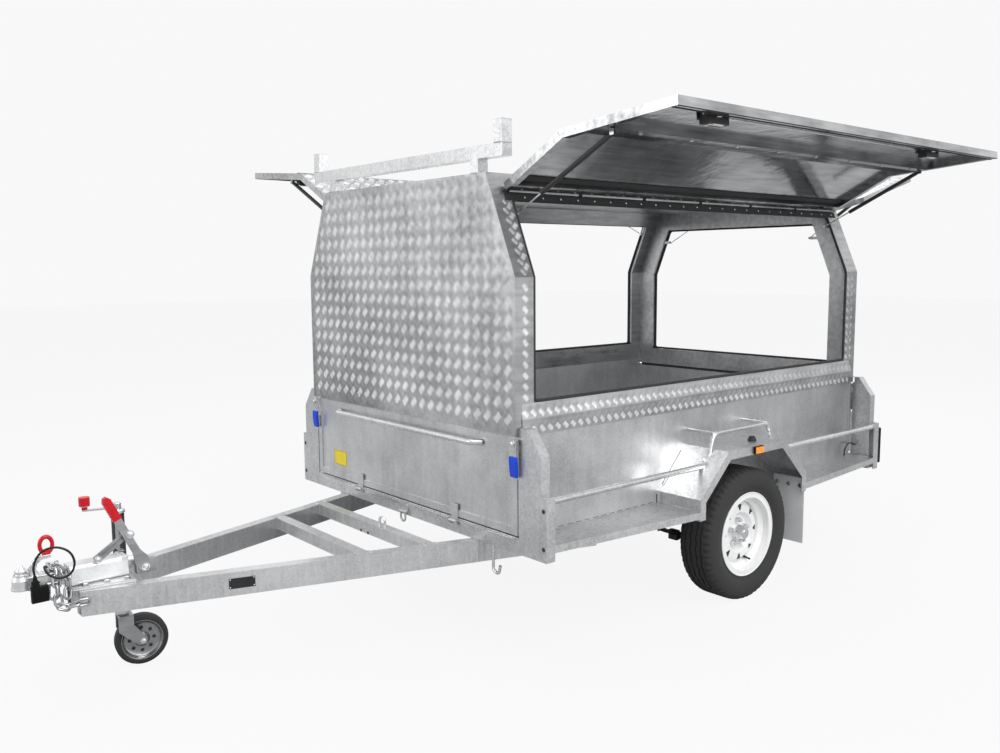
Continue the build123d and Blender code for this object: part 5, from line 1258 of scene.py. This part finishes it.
@dataclass
class Jockey:
    """Fittings of the jockey wheel: collar, cap, clamp handle, crank knob, rim and hub."""

    axis_x: float = 2.055
    axis_y: float = -0.197942
    wheel_centre: tuple = (1.993603, -0.189313, 0.100)
    wheel_axis: tuple = (-0.139173, -0.990268, 0.0)
    crank_reach: float = 0.128
    crank_turn: float = -42.0
    rim_holes: int = 8

    def tube(self) -> None:
        """Silver collar at the top, rings at the clamp, and the clamp's tommy bar."""
        origin = (self.axis_x, self.axis_y, 0)
        soup = Soup()
        soup.add(lathe([(0.6195, 0.0), (0.6195, 0.0280), (0.6290, 0.0280), (0.6305, 0.0260), (0.6335, 0.0200),
                        (0.6338, 0)], origin, (0, 0, 1), 36))
        soup.add(lathe([(0.6335, 0.0), (0.6335, 0.0148), (0.6560, 0.0148), (0.6578, 0.0125), (0.6578, 0.0)],
                       origin, (0, 0, 1), 30))
        for low, high in ((0.3525, 0.3580), (0.4140, 0.4195)):
            soup.add(lathe([(low, 0.0245), (low, 0.0312), (high, 0.0312), (high, 0.0245)], origin, (0, 0, 1), 36))
        soup.build("jockey_collars", Look.CHROME, Body.CHASSIS, "bright_steel")
        handle = Soup()
        a = np.array([self.axis_x + 0.022, self.axis_y - 0.020, 0.387])
        handle.add(rod(a, a + (0.022, -0.022, 0), 0.0065, 12))
        handle.add(rod(a + (0.020, -0.020, -0.045), a + (0.020, -0.020, 0.020), 0.0045, 10, (1, 0, 0)))
        handle.build("jockey_clamp_handle", Look.CHROME, Body.CHASSIS, "bright_steel")

    def crank(self) -> None:
        """The red two-step knob, with a flared head, over its core."""
        turn = math.radians(self.crank_turn)
        tip = (self.axis_x + self.crank_reach * math.cos(turn), self.axis_y + self.crank_reach * math.sin(turn), 0.627)
        knob = Soup().add(lathe([(0.0, 0.0), (0.0, 0.0098), (0.002, 0.0105), (0.0145, 0.0108), (0.0155, 0.0175),
                                 (0.0175, 0.0200), (0.0235, 0.0203), (0.0440, 0.0203), (0.0490, 0.0203),
                                 (0.0513, 0.0202), (0.0518, 0.0)], tip, (0, 0, 1), 40))
        knob.build("crank_knob", Look.RED, Body.CHASSIS, "red_plastic")

    def wheel(self) -> None:
        """The small tyre's round section over the core, and a pressed rim with a hub, whose holes are dark discs of
        painted shade.
        """
        axis = self.wheel_axis
        tyre = Soup().add(lathe([(-0.0212, 0.0795), (-0.0232, 0.0850), (-0.0222, 0.0915), (-0.0165, 0.0975),
                                 (-0.0085, 0.0998), (0.0, 0.1000), (0.0085, 0.0998), (0.0165, 0.0975),
                                 (0.0222, 0.0915), (0.0232, 0.0850), (0.0212, 0.0795)],
                                self.wheel_centre, axis, 72))
        tyre.build("jockey_tyre", Look.RUBBER, Body.ROLLER, "black_rubber")
        rim = Soup()
        for side in (-1, 1):
            rim.add(lathe([(side * 0.0205, 0.0800), (side * 0.0222, 0.0790), (side * 0.0215, 0.0760),
                           (side * 0.0130, 0.0700), (side * 0.0085, 0.0600), (side * 0.0095, 0.0300),
                           (side * 0.0190, 0.0240), (side * 0.0225, 0.0190), (side * 0.0225, 0.0078)],
                          self.wheel_centre, axis, 60))
        rim.build("jockey_rim", Look.PRESSED, Body.ROLLER, "bright_steel")
        u, v = square_to(axis)
        # Dark discs in the rim's holes: painted shade seen through them.
        holes = Soup()
        angle = np.linspace(0, 2 * math.pi, self.rim_holes, endpoint=False)
        ring = np.cos(angle)[:, None] * u + np.sin(angle)[:, None] * v
        disc = lathe([(0, 0), (0, 0.0062), (0.0008, 0.0072), (0.0012, 0.0062), (0.0006, 0)], (0, 0, 0), (0, 0, 1), 14)
        for side in (-1, 1):
            spots = np.array(self.wheel_centre) + ring * 0.046 + side * 0.0088 * unit(axis)
            holes.add(scatter(disc, spots, u, v * side, side * unit(axis)))
        holes.build("jockey_rim_holes", Look.DARK_METAL, Body.ROLLER, "black_rubber")
        nuts = Soup()
        for side in (-1, 1):
            nuts.add(scatter(bolt_shape(0.0095, 0.009, 0.0120),
                             [np.array(self.wheel_centre) + side * 0.0362 * unit(axis)],
                             u, v * side, side * unit(axis)))
        nuts.build("jockey_axle_nuts", Look.CHROME, Body.CASTOR, "bright_steel")

    def build(self) -> None:
        """All of the jockey wheel's fittings."""
        self.tube()
        self.crank()
        self.wheel()


# ---------------------------------------------------------------- canopy


@dataclass
class CanopyTrim:
    """Rubber bulbs round the openings, hinge strips with rivets, rack caps and welds, and edge angles."""

    front_x: float = 0.772
    rear_x: float = -1.517

    def bulbs(self) -> None:
        """A bulb seal along each opening's edge, sunk so that about a quarter of it stands proud."""
        soup = Soup()
        out = -0.0034
        corners = [wall_point(out, 1.030), knuckle_point(out), wall_point(out, 1.811)]
        line = [(self.front_x, *corners[0]), (self.front_x, *corners[1]), (self.front_x, *corners[2]),
                (self.rear_x, *corners[2]), (self.rear_x, *corners[1]), (self.rear_x, *corners[0])]
        soup.add(sweep(self.densified(np.array(line)), 0.0066, 8, closed=True, side=(0.25, 0.8, 0.35)))
        soup.mirror()
        rear = [(0.636, 1.005), (0.636, 1.492), (0.519, 1.775)]
        rear += [(-y, z) for y, z in reversed(rear)]
        ring = np.array([(WALL_REAR + 0.0032, y, z) for y, z in rear])
        soup.add(sweep(self.densified(ring), 0.0062, 8, closed=True, side=(1, 0, 0)))
        soup.build("opening_bulb_seals", Look.RUBBER, Body.CHASSIS, "black_rubber")

    def densified(self, corners: Array, step: float = 0.012) -> Array:
        """Points near each corner of a closed line, so that the bar turns sharply but cleanly."""
        points = []
        for a, b in zip(corners, np.roll(corners, -1, 0)):
            length = np.linalg.norm(b - a)
            share = np.array([step, 2 * step, length / 2, length - 2 * step, length - step]) / length
            points.append(a + (b - a) * share[:, None])
        return np.concatenate(points)

    def hinge_strips(self) -> None:
        """A black strip under each side door's hinge with a row of rivets, and a sleeve round the pin."""
        strip = Soup()
        low, high = wall_point(0.0004, 1.8060), wall_point(0.0004, 1.8330)
        strip.add(prism(rectangle(2.405, 0.0292), (0.808, *low), (-1, 0, 0),
                        (0, high[0] - low[0], high[1] - low[1]), 0.0022))
        strip.mirror().build("hinge_strips", Look.RUBBER, Body.CHASSIS, "black_rubber", bevel=0.0006)
        pin = Soup().add(rod((0.800, *HINGE), (-1.588, *HINGE), 0.0043, 12))
        pin.mirror().build("hinge_pin_sleeves", Look.RUBBER, Body.CHASSIS, "black_rubber")
        rivets = Soup()
        x = np.arange(-1.56, 0.80, 0.0985)
        y, z = wall_point(0.0026, 1.8200)
        normal = np.array([0, math.sin(LEAN), math.cos(LEAN)])
        rivets.add(scatter(rivet_shape(0.0042, 0.0017), np.stack([x, np.full_like(x, y), np.full_like(x, z)], 1),
                           (1, 0, 0), np.cross(normal, (1, 0, 0)), normal))
        rivets.mirror().build("hinge_strip_rivets", Look.CHROME, Body.CHASSIS, "bright_steel")

    def racks(self) -> None:
        """End caps on the uprights, and weld beads where uprights and feet meet the crossbars."""
        caps = Soup()
        welds = Soup()
        for x in (station(-10), -1.584):
            for side in (-1, 1):
                y = side * 0.690
                caps.add(lathe([(2.1035, 0.0), (2.1035, 0.0358), (2.1048, 0.0350), (2.105, 0.0)],
                               (x, y, 0), (0, 0, 1), 4))
                for z, centre in ((2.0175, 0.690), (1.9135, 0.545)):
                    c = side * centre
                    line = np.array([(x + a, c + b, z) for a, b in
                                     ((-0.0255, -0.0255), (0.0255, -0.0255), (0.0255, 0.0255), (-0.0255, 0.0255))])
                    welds.add(sweep(self.densified(line, 0.006), 0.0028, 8, closed=True, side=(0, 0, 1)))
        caps = self.turned_caps(caps)
        caps.build("rack_end_caps", Look.PLASTIC, Body.CHASSIS, "black_plastic", bevel=0.0012)
        welds.build("rack_welds", Look.WELD, Body.CHASSIS, "galvanised_steel")

    def turned_caps(self, caps: Soup) -> Soup:
        """The four-sided caps turned by 45 degrees about their own middles, so their sides are square."""
        turned = []
        for points in caps.points:
            middle = points.mean(0)
            turned.append(Turn(tuple(middle), (0, 0, 1), 45.0).apply(points))
        caps.points = turned
        return caps

    def edges(self) -> None:
        """Folded angles along the end walls' edges."""
        soup = Soup()
        outline = [(CANOPY_HALF - 0.0004, FOOT_Z + 0.006), (CANOPY_HALF - 0.0004, KNUCKLE_Z),
                   (ROOF_HALF - 0.0004, ROOF_Z - 0.0006), (-ROOF_HALF + 0.0004, ROOF_Z - 0.0006),
                   (-CANOPY_HALF + 0.0004, KNUCKLE_Z), (-CANOPY_HALF + 0.0004, FOOT_Z + 0.006)]
        edge = np.array(outline)
        centre = np.array([0.0, 1.4])
        inner = edge + unit(centre - edge) * 0.020
        for x, depth in ((WALL_FRONT - 0.0002, 0.0012), (WALL_REAR + 0.0002, -0.0012)):
            strip = np.concatenate([edge, inner])
            front = np.column_stack([np.full(len(strip), x + depth), strip])
            back = np.column_stack([np.full(len(strip), x), strip])
            count = len(edge)
            quads = np.array([(k, k + 1, k + 1 + count, k + count) for k in range(count - 1)])
            rim = np.array([(k, k + 1, k + 1 + 2 * count, k + 2 * count) for k in range(count - 1)])
            lip = np.array([(k + count, k + 1 + count, k + 1 + 3 * count, k + 3 * count) for k in range(count - 1)])
            soup.add((np.concatenate([front, back]), [quads, quads + 2 * count, rim, lip]))
        soup.build("wall_edge_angles", Look.PLATE, Body.CHASSIS, "checker_plate")

    def build(self) -> None:
        """All of the trim."""
        self.bulbs()
        self.hinge_strips()
        self.racks()
        self.edges()


@dataclass
class DoorGear:
    """Inside and outside fittings of the doors: T handles, cams, rods, nuts and rim rubber."""

    skin: float = 0.034
    out: float = 0.038
    lock_stations: tuple = (-330, -1900)
    nut_pitch: float = 0.29
    rear_lock_half: float = 0.430

    def side_soups(self) -> dict:
        """Fittings of the left side door, drawn closed: plated, black and skin pieces."""
        plated, black = Soup(), Soup()
        face = CANOPY_HALF + self.skin
        for x in map(station, self.lock_stations):
            for z in (1.033, 1.060):
                plated.add(brick((x - 0.062, face - 0.020, z - 0.004), (x + 0.062, face - 0.012, z + 0.004)))
            plated.add(lathe([(0, 0), (0, 0.014), (0.004, 0.014), (0.006, 0.010), (0.006, 0)],
                             (x, face - 0.024, 1.046), (0, -1, 0), 20))
            plated.add(brick((x - 0.012, face - 0.034, 1.044), (x + 0.012, face - 0.030, 1.076)))
            black.add(brick((x - 0.058, CANOPY_HALF - 0.016, 1.043), (x + 0.058, face - 0.002, 1.082)))
            black.add(prism([(-0.070, 0.0), (0.070, 0.0), (0.050, 0.018), (-0.050, 0.018)],
                            (x, face - 0.001, 1.080), (1, 0, 0), (0, 0, 1), 0.030))
            plated.add(brick((x - 0.030, CANOPY_HALF - 0.021, 1.046), (x + 0.030, CANOPY_HALF - 0.0155, 1.058)))
            plated.add(rod((x + 0.036, CANOPY_HALF - 0.018, 1.050), (x + 0.036, CANOPY_HALF - 0.018, 1.078),
                           0.0040, 10, (1, 0, 0)))
            black.add(brick((x - 0.075, CANOPY_HALF + self.out, 1.022),
                            (x + 0.075, CANOPY_HALF + self.out + 0.003, 1.066)))
            black.add(brick((x - 0.052, CANOPY_HALF + self.out + 0.003, 1.038),
                            (x + 0.052, CANOPY_HALF + self.out + 0.015, 1.050)))
            black.add(lathe([(0, 0), (0, 0.010), (0.010, 0.009), (0.010, 0)],
                            (x, CANOPY_HALF + self.out + 0.002, 1.044), (0, 1, 0), 16))
        plated.add(rod((station(-385), face - 0.016, 1.075), (station(-1845), face - 0.016, 1.075), 0.0045, 10))
        x = np.arange(station(-2300), station(-120), self.nut_pitch)
        spots = np.stack([x, np.full_like(x, face - 0.0285), np.full_like(x, 1.340)], 1)
        plated.add(scatter(bolt_shape(0.0065, 0.006, 0.009), spots, (1, 0, 0), (0, 0, 1), (0, -1, 0)))
        rim = Soup()
        foot, head = wall_point(self.skin - 0.0035, 1.772), wall_point(self.skin - 0.0035, 1.818)
        rim.add(prism(rectangle(2.396, 0.050), (0.802, *foot), (-1, 0, 0),
                      (0, head[0] - foot[0], head[1] - foot[1]), 0.0028))
        lip = CANOPY_HALF + 0.0055
        for z in (0.990, 1.0155):
            rim.add(rod((station(-48), lip, z), (station(-2452), lip, z), 0.0022, 6))
        return {"plated": plated, "black": black, "rim": rim}

    def side_doors(self) -> None:
        """The left door's fittings swung open, and the right door's as their mirror image."""
        for body, name, flip in ((Body.LEFT_DOOR, "left", 1), (Body.RIGHT_DOOR, "right", -1)):
            soups = self.side_soups()
            for key, look, slot in (("plated", Look.CHROME, "bright_steel"), ("black", Look.BLACK, "black_enamel"),
                                    ("rim", Look.RUBBER, "black_rubber")):
                soup = soups[key].moved(LEFT_OPEN)
                soup.points = [p * np.array([1.0, flip, 1.0]) for p in soup.points]
                soup.build(f"{name}_door_{key}_fittings", look, body, slot, bevel=0.0008 if key != "rim" else 0.0)

    def back_door(self) -> None:
        """The rear door's handles, cams and rod."""
        plated, black = Soup(), Soup()
        outer = station(-2528)
        for y in (-self.rear_lock_half, self.rear_lock_half):
            black.add(brick((outer - 0.0032, y - 0.075, 0.995), (outer, y + 0.075, 1.039)))
            black.add(brick((outer - 0.0150, y - 0.052, 1.011), (outer - 0.0030, y + 0.052, 1.023)))
            plated.add(brick((outer + 0.030, y - 0.012, 0.975), (outer + 0.034, y + 0.012, 1.030)))
            plated.add(lathe([(0, 0), (0, 0.014), (0.004, 0.014), (0.006, 0.0)],
                             (outer + 0.026, y, 1.018), (1, 0, 0), 20))
        plated.add(rod((outer + 0.020, -0.38, 1.048), (outer + 0.020, 0.38, 1.048), 0.0045, 10))
        for soup, look, key, slot in ((plated, Look.CHROME, "plated", "bright_steel"),
                                      (black, Look.BLACK, "black", "black_enamel")):
            soup.moved(BACK_OPEN).build(f"back_door_{key}_fittings", look, Body.BACK_DOOR, slot, bevel=0.0008)

    def build(self) -> None:
        """All of the doors' fittings."""
        self.side_doors()
        self.back_door()


# ---------------------------------------------------------------- tray


@dataclass
class TrayFittings:
    """Ledge, rear seal, latches, label, bolts, guard fittings, wall seams and welds of the tray."""

    def latches(self) -> None:
        """A bent steel lever with a blue grip on each side of both gates, and its pivot bolt."""
        for body, name, x, way in ((Body.FRONT_GATE, "front", BODY_FRONT, 1), (Body.BACK_GATE, "back", BODY_REAR, -1)):
            blue, steel = Soup(), Soup()
            for side in (-1, 1):
                y = side * 0.774
                blue.add(prism([(0.0075, 0.7405), (0.0185, 0.738), (0.0235, 0.765), (0.0260, 0.798), (0.0250, 0.824),
                                (0.0120, 0.826)], (x, y + way * 0.0212, 0.0), (way, 0, 0), (0, 0, 1), 0.0424))
                steel.add(scatter(bolt_shape(0.0105, 0.008, 0.0150), [(x + way * 0.0225, y, 0.872)],
                                  (0, 1, 0), (0, 0, way), (way, 0, 0)))
                near, far = sorted((x, x + way * 0.0175))
                steel.add(brick((near, y - 0.0135, 0.836), (far, y + 0.0135, 0.866)))
            blue.build(f"{name}_latch_grips", Look.BLUE, body, bevel=0.0045)
            steel.build(f"{name}_latch_steel", Look.CHROME, body, "bright_steel", bevel=0.0012)

    def label(self) -> None:
        """The blank yellow label on the front gate, with a thin dark border."""
        plate = Soup().add(prism(rectangle(0.118, 0.073), (0.8492, -0.633, 0.568), (0, 1, 0), (0, 0, 1), 0.0008))
        plate.build("blank_label", Look.YELLOW, Body.FRONT_GATE)
        band = Soup()
        for z in (0.5695, 0.6385):
            band.add(brick((0.8499, -0.6315, z - 0.0006), (0.8504, -0.5165, z + 0.0006)))
        for y in (-0.6315, -0.5165):
            band.add(brick((0.8499, y - 0.0006, 0.5695), (0.8504, y + 0.0006, 0.6385)))
        band.build("blank_label_border", Look.DARK_METAL, Body.FRONT_GATE)

    def corner_bolts(self) -> None:
        """Dark rubber-lined holes of the front brackets, and bolts on the rear ones."""
        soup = Soup()
        ring = lathe([(0, 0.0068), (0.0012, 0.0078), (0.0016, 0.0070), (0.0010, 0.0060)], (0, 0, 0), (0, 0, 1), 20)
        spots = [(BODY_FRONT, s * 0.925, z) for s in (-1, 1) for z in (0.483, 0.631)]
        soup.add(scatter(ring, spots, (0, 1, 0), (0, 0, 1), (1, 0, 0)))
        disc = lathe([(0, 0.0), (0, 0.0092), (0.0006, 0.0088), (0.0007, 0.0)], (0, 0, 0), (0, 0, 1), 24)
        soup.add(scatter(disc, spots, (0, 1, 0), (0, 0, 1), (1, 0, 0)))
        soup.build("bracket_hole_grommets", Look.RUBBER, Body.CHASSIS, "black_rubber")
        bolts = Soup()
        spots = [(BODY_REAR, s * 0.925, z) for s in (-1, 1) for z in (0.446, 0.668)]
        bolts.add(scatter(bolt_shape(0.0065, 0.005, 0.009), spots, (0, 1, 0), (0, 0, -1), (-1, 0, 0)))
        bolts.build("rear_bracket_bolts", Look.CHROME, Body.CHASSIS, "bright_steel")

    def guards(self) -> None:
        """Hoop stays, the marker lamps' boots, bolts of the guards and flaps, and the wall's seams."""
        stays = Soup()
        for x in (-0.185, -0.601):
            path = np.array([(x, 0.925, 0.802), (x, 0.900, 0.8035), (x, 0.840, 0.8035), (x, 0.785, 0.8035)])
            stays.add(sweep(path, 0.0082, 12))
        stays.mirror().build("hoop_stays", Look.ZINC_BRIGHT, Body.CHASSIS, "galvanised_steel")
        boot = Soup().add(lathe([(0, 0), (0, 0.020), (0.004, 0.021), (0.010, 0.017), (0.018, 0.015), (0.0225, 0.010),
                                 (0.0225, 0)], (-0.470, 0.930, 0.734), (0, 0, 1), 24))
        boot.mirror().build("marker_lamp_boots", Look.RUBBER, Body.CHASSIS, "black_rubber")
        bolts = Soup()
        for x, tilt in ((-0.1115, 1), (-0.6745, -1)):
            spot = (x, 0.925, 0.6925)
            normal = unit(np.array([0.69 * tilt, 0, 0.724]))
            bolts.add(scatter(bolt_shape(0.008, 0.008, 0.012), [spot], (0, 1, 0), np.cross(normal, (0, 1, 0)), normal))
        flap = [(-0.7962 + 0.0004, s, 0.478) for s in (0.862, 0.925, 0.988)]
        bolts.add(scatter(bolt_shape(0.007, 0.006, 0.011), flap, (0, 1, 0), (0, 0, 1), (1, 0, 0)))
        bolts.mirror().build("guard_bolts", Look.CHROME, Body.CHASSIS, "bright_steel")
        seam = Soup()
        seam.add(rod((-0.0015, TRAY_SIDE, 0.576), (-0.132, TRAY_SIDE, 0.714), 0.0018, 6))
        seam.add(rod((0.0345, TRAY_SIDE, 0.4985), (0.0345, TRAY_SIDE, 0.5365), 0.0026, 6, (1, 0, 0)))
        for begin in np.arange(0.060, 0.640, 0.050):
            seam.add(rod((begin, TRAY_SIDE, 0.5030), (begin + 0.032, TRAY_SIDE, 0.5030), 0.0013, 6))
        seam.mirror().build("wall_seam", Look.DARK_METAL, Body.CHASSIS, "galvanised_steel")

    def welds(self) -> None:
        """Beads along the steps' inner edges, the guards' feet and the corner plates."""
        soup = Soup()
        for start, end, z in ((0.80, 0.03, 0.4955), (-0.815, -1.588, 0.4955)):
            share = np.linspace(0, 1, 200)[:, None]
            a, b = np.array([start, TRAY_SIDE + 0.001, z]), np.array([end, TRAY_SIDE + 0.001, z])
            soup.add(sweep(a + (b - a) * share, 0.0018 + 0.0003 * np.cos(share[:, 0] * 1400), 6))
        for x, way in ((0.019, 1), (-0.805, -1)):
            soup.add(rod((x + way * 0.001, 0.79, 0.4965), (x + way * 0.001, 1.008, 0.4965), 0.0028))
        for x in (0.809, -1.595):
            soup.add(rod((x, TRAY_SIDE + 0.0015, 0.505), (x, TRAY_SIDE + 0.0015, 0.895), 0.0026, 8, (1, 0, 0)))
        soup.mirror().build("tray_welds", Look.WELD, Body.CHASSIS, "galvanised_steel")

    def gate_seams(self) -> None:
        """A dark strip in the slit beside each end of both gates: painted shade of the gap."""
        soup = Soup()
        for x, way in ((BODY_FRONT, 1), (BODY_REAR, -1)):
            for side in (-1, 1):
                low, high = sorted((x - way * 0.0005, x + way * 0.0006))
                # Thin dark bricks standing in for the shade in each gap.
                soup.add(brick((low, side * 0.779 - 0.0016, 0.500), (high, side * 0.779 + 0.0016, 0.729)))
        soup.build("gate_slits", Look.DARK_METAL, Body.CHASSIS, "galvanised_steel")

    def ledge(self) -> None:
        """The bright ledge along the front beam under the gate, cut out for the hinges."""
        soup = Soup()
        for low, high in ((-0.76, -0.41), (-0.34, 0.34), (0.41, 0.76)):
            soup.add(brick((0.8552, low, 0.4885), (0.8672, high, 0.4940)))
            soup.add(brick((0.8552, low, 0.4700), (0.8580, high, 0.4885)))
        soup.build("beam_ledge", Look.ZINC_BRIGHT, Body.CHASSIS, "galvanised_steel", bevel=0.0008)

    def rear_seal(self) -> None:
        """The black foot seal along the rear frame."""
        foot = Soup().add(brick((BODY_REAR + 0.034, -0.735, 0.882), (BODY_REAR + 0.038, 0.735, 0.912)))
        foot.build("rear_foot_seal", Look.RUBBER, Body.CHASSIS, "black_rubber", bevel=0.0008)

    def build(self) -> None:
        """All of the tray's fittings."""
        self.ledge()
        self.rear_seal()
        self.latches()
        self.label()
        self.corner_bolts()
        self.guards()
        self.welds()
        self.gate_seams()


@dataclass
class LampSet:
    """Lens blocks of the amber markers and the rear lamps, and the lamps' frames."""

    def markers(self) -> None:
        """A frame and a grid of pillow lenses, four by two, on each guard's lip."""
        lens, base = Soup(), Soup()
        middle = (AXLE_X, 1.0270, 0.715)
        pillow_u = np.linspace(-1, 1, 7)
        a, b = np.meshgrid(pillow_u, pillow_u, indexing="ij")
        lift = (1 - a ** 4) * (1 - b ** 4)
        shape = np.stack([a * 0.0072, b * 0.0066, lift * 0.0020], -1).reshape(-1, 3)
        centres = [(middle[0] + i * 0.0148, middle[1] - 0.0020, middle[2] + j * 0.0138)
                   for i in (-1.5, -0.5, 0.5, 1.5) for j in (-0.5, 0.5)]
        lens.add(scatter((shape, [grid_faces(7, 7)]), centres, (1, 0, 0), (0, 0, 1), (0, 1, 0)))
        lens.faces = [f[:, ::-1] for f in lens.faces]
        lens.mirror().build("marker_lenses", Look.AMBER, Body.CHASSIS, "lamp_lens", smooth=60, tidy=False)
        for side in (-1, 1):
            for sign in (-1, 1):
                base.add(brick((AXLE_X - 0.0325, side * 1.0205 - 0.0055, 0.715 + sign * 0.0158 - 0.0012),
                               (AXLE_X + 0.0325, side * 1.0205 + 0.0055, 0.715 + sign * 0.0158 + 0.0012)))
                base.add(brick((AXLE_X + sign * 0.0318 - 0.0012, side * 1.0205 - 0.0055, 0.699),
                               (AXLE_X + sign * 0.0318 + 0.0012, side * 1.0205 + 0.0055, 0.731)))
        base.build("marker_frames", Look.PLASTIC, Body.CHASSIS, "black_plastic", bevel=0.0006)

    def tails(self) -> None:
        """Red and amber lens blocks with ribs over the rear lamps, in black frames."""
        rear = -1.671
        for name, look, low, high in (("red", Look.RUBY, 0.466, 0.590), ("amber", Look.AMBER, 0.594, 0.648)):
            soup = Soup()
            for side in (-1, 1):
                y0, y1 = sorted((side * 0.867, side * 0.934))
                count = 14
                ribs = np.linspace(y0, y1, count * 4 + 1)
                wave = 0.0004 * np.cos((ribs - y0) / (y1 - y0) * count * 2 * math.pi)
                points = np.stack([np.stack([rear + 0.0008 - 0.0006 + wave, ribs, np.full_like(ribs, z)], 1)
                                   for z in (low, high)])
                soup.add((points.reshape(-1, 3), [grid_faces(2, len(ribs))[:, ::-1]]))
            soup.build(f"tail_lamp_{name}", look, Body.CHASSIS, "lamp_lens", tidy=False, smooth=60)
        frame_soup = Soup()
        for side in (-1, 1):
            y0, y1 = sorted((side * 0.8625, side * 0.9385))
            for z in (0.4615, 0.592, 0.6525):
                frame_soup.add(brick((rear - 0.0001, y0, z - 0.0024), (rear + 0.006, y1, z + 0.0024)))
            for y in (y0, y1):
                frame_soup.add(brick((rear - 0.0001, y - 0.0024, 0.462), (rear + 0.028, y + 0.0024, 0.652)))
        frame_soup.build("tail_lamp_frames", Look.PLASTIC, Body.CHASSIS, "black_plastic", bevel=0.0008)

    def build(self) -> None:
        """All of the lamps' details."""
        self.markers()
        self.tails()


@dataclass
class Undergear:
    """U bolts and leaf clips of the springs under the tray."""

    def springs(self) -> None:
        """Two U bolts round the beam at each spring, with nuts, and leaf clips."""
        bolts, clips = Soup(), Soup()
        for x in (AXLE_X - 0.032, AXLE_X + 0.032):
            top = arc((0.735, 0.330), 0.0275, 0, 180, 13)
            path = np.concatenate([[(x, 0.7625, 0.220)], np.column_stack([np.full(13, x), top + (0, 0.004)]),
                                   [(x, 0.7075, 0.220)]])
            bolts.add(sweep(path, 0.0052, 10, side=(1, 0, 0)))
            for y in (0.7075, 0.7625):
                bolts.add(scatter(bolt_shape(0.0088, 0.010, 0.012), [(x, y, 0.2292)],
                                  (1, 0, 0), (0, -1, 0), (0, 0, -1)))
        for x in (AXLE_X - 0.24, AXLE_X + 0.24):
            z = 0.310 - 0.0325 + (0.24 ** 2) / (2 * 0.740)
            clips.add(brick((x - 0.013, 0.7105, z - 0.036), (x + 0.013, 0.7595, z + 0.010)))
        bolts.mirror().build("spring_u_bolts", Look.DARK_METAL, Body.CHASSIS, "black_enamel")
        clips.mirror().build("spring_clips", Look.BLACK, Body.CHASSIS, "black_enamel", bevel=0.002)

    def build(self) -> None:
        """All of the gear under the tray."""
        self.springs()


# ---------------------------------------------------------------- frame nodes


NODE_LOOKS = {
    Look.ZINC: ("tray_sides", "gate_front", "gate_rear", "tray_floor", "floor_bearers", "chassis_rails"),
    Look.ZINC_SPANGLED: ("corner_plates", "side_steps", "mudguards", "chassis_beams", "gate_hinge_lugs"),
    Look.ZINC_BRIGHT: ("side_rails", "rope_hooks", "safety_chain", "gate_fittings_front", "gate_fittings_rear",
                       "ladder_racks"),
    Look.ZINC_DULL: ("drawbar_rails", "drawbar_crossmembers"),
    Look.PLATE: ("canopy_front_wall", "canopy_rear_frame", "canopy_roof", "canopy_sills", "canopy_posts"),
    Look.INNER: ("door_left", "door_right", "door_rear"),
    Look.RUBBER: ("door_seals", "jockey_wheel", "lamp_leads"),
    Look.BLACK: ("axle_beam", "leaf_springs", "strut_cylinders_left", "strut_cylinders_right",
                 "strut_cylinders_rear", "door_left_locks", "door_right_locks", "door_rear_locks", "jockey_tube"),
    Look.CHROME: ("strut_rods_left", "strut_rods_right", "strut_rods_rear", "jockey_leg", "jockey_crank",
                  "coupling_trigger"),
    Look.STEEL: ("handbrake_lever", "jockey_fork"),
    Look.DARK_METAL: ("door_hinges",),
    Look.CASTING: ("coupling_body", "coupling_head"),
    Look.RIM: ("rim_left", "rim_right"),
    Look.TYRE: ("tyre_left", "tyre_right"),
    Look.RED: ("trigger_loop", "handbrake_grip"),
    Look.AMBER: ("lamps",),
    Look.PALE: ("mud_flaps",),
    Look.PLASTIC: ("lead_plug",),
    Look.CORD: ("trailer_lead",),
}


def dress_nodes() -> None:
    """Gives every node of the frame its finish."""
    for look, names in NODE_LOOKS.items():
        for name in names:
            node = NODES[name]
            node.data.materials.clear()
            node.data.materials.append(look.made)
    left_out = sorted(set(NODES) - {n for names in NODE_LOOKS.values() for n in names})
    LOG.info("nodes dressed; without a finish: %s", left_out)


def main() -> None:
    """Builds the scene piece by piece."""
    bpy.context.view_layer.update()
    Studio().build()
    TrailerLead().build()
    dress_nodes()
    for part in (TreadSkin(), RoadWheel(1, Body.LEFT_WHEEL), RoadWheel(-1, Body.RIGHT_WHEEL), Coupling(), Jockey(),
                 CanopyTrim(), DoorGear(), TrayFittings(), LampSet(), Undergear()):
        part.build()
        LOG.info("%s done", type(part).__name__)


if __name__ == "__main__":
    logging.basicConfig(level=logging.INFO, format="%(message)s")
    main()
